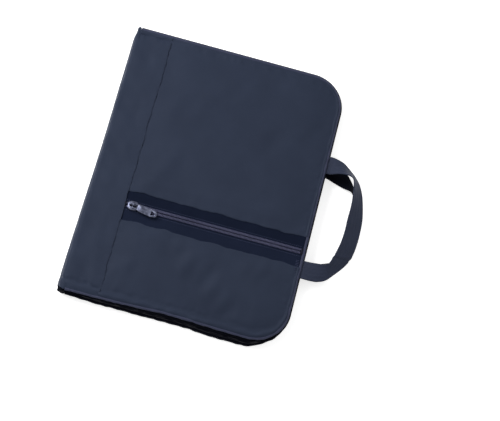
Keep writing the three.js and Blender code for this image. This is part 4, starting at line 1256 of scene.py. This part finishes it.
def white_floor():
    grid = np.linspace(-FLOOR_SIZE / 2, FLOOR_SIZE / 2, FLOOR_STEPS + 1)
    points = [(x, y, FLOOR_Z) for y in grid for x in grid]
    mesh = bpy.data.meshes.new("floor")
    mesh.from_pydata(points, [], grid_faces(len(grid), len(grid), wrap_cols=False).tolist())
    material = bpy.data.materials.new("floor_white")
    material.use_nodes = True
    tree = material.node_tree
    tree.nodes.clear()
    out = tree.nodes.new("ShaderNodeOutputMaterial")
    matte = tree.nodes.new("ShaderNodeBsdfDiffuse")
    matte.inputs["Color"].default_value = (0.86, 0.86, 0.86, 1)
    glow = tree.nodes.new("ShaderNodeEmission")
    tree.links.new(combine(tree, "MULTIPLY", seen_directly(tree), FLOOR_GLOW), glow.inputs["Strength"])
    both = tree.nodes.new("ShaderNodeAddShader")
    tree.links.new(matte.outputs[0], both.inputs[0])
    tree.links.new(glow.outputs[0], both.inputs[1])
    tree.links.new(both.outputs[0], out.inputs["Surface"])
    mesh.materials.append(material)
    add_object("floor", mesh)


def white_world():
    world = bpy.data.worlds.new("studio")
    bpy.context.scene.world = world
    world.use_nodes = True
    tree = world.node_tree
    tree.nodes.clear()
    out = tree.nodes.new("ShaderNodeOutputWorld")
    back = tree.nodes.new("ShaderNodeBackground")
    back.inputs["Color"].default_value = (1, 1, 1, 1)
    seen = seen_directly(tree)
    rest = combine(tree, "MULTIPLY", combine(tree, "SUBTRACT", 1.0, seen), ROOM_LIGHT)
    tree.links.new(combine(tree, "ADD", seen, rest), back.inputs["Strength"])
    tree.links.new(back.outputs[0], out.inputs["Surface"])


def lamp(name, stands_at, target, size, power):
    light = bpy.data.lights.new(name, "AREA")
    light.shape = "SQUARE"
    light.size = size
    light.energy = power
    obj = add_object(name, light)
    obj.location = stands_at
    aim = Vector(target) - Vector(stands_at)
    obj.rotation_euler = aim.to_track_quat("-Z", "Y").to_euler()


white_floor()
white_world()
lamp("key", (-0.75, 0.25, 0.8), (-0.05, 0, 0), size=0.7, power=12)
lamp("fill", (1.4, 0.9, 1.5), (0, 0, 0), size=1.6, power=7)

# Camera at the photograph's angle
STAND = Vector((0.0221, -0.6071, 1.8061))
RIGHT = Vector((0.9652, 0.2425, 0.0979))
FORWARD = Vector((0.0178, 0.3126, -0.9497))
camera_data = bpy.data.cameras.new("camera")
camera_data.lens = 115.2
camera_data.sensor_width = 36
camera_data.clip_end = 100
camera = add_object("camera", camera_data)
forward = FORWARD.normalized()
right = (RIGHT - forward * RIGHT.dot(forward)).normalized()
up = right.cross(forward)
axes = Matrix((right, up, -forward)).transposed().to_4x4()
camera.matrix_world = Matrix.Translation(STAND) @ axes
bpy.context.scene.camera = camera

bpy.context.scene.view_settings.view_transform = "Standard"
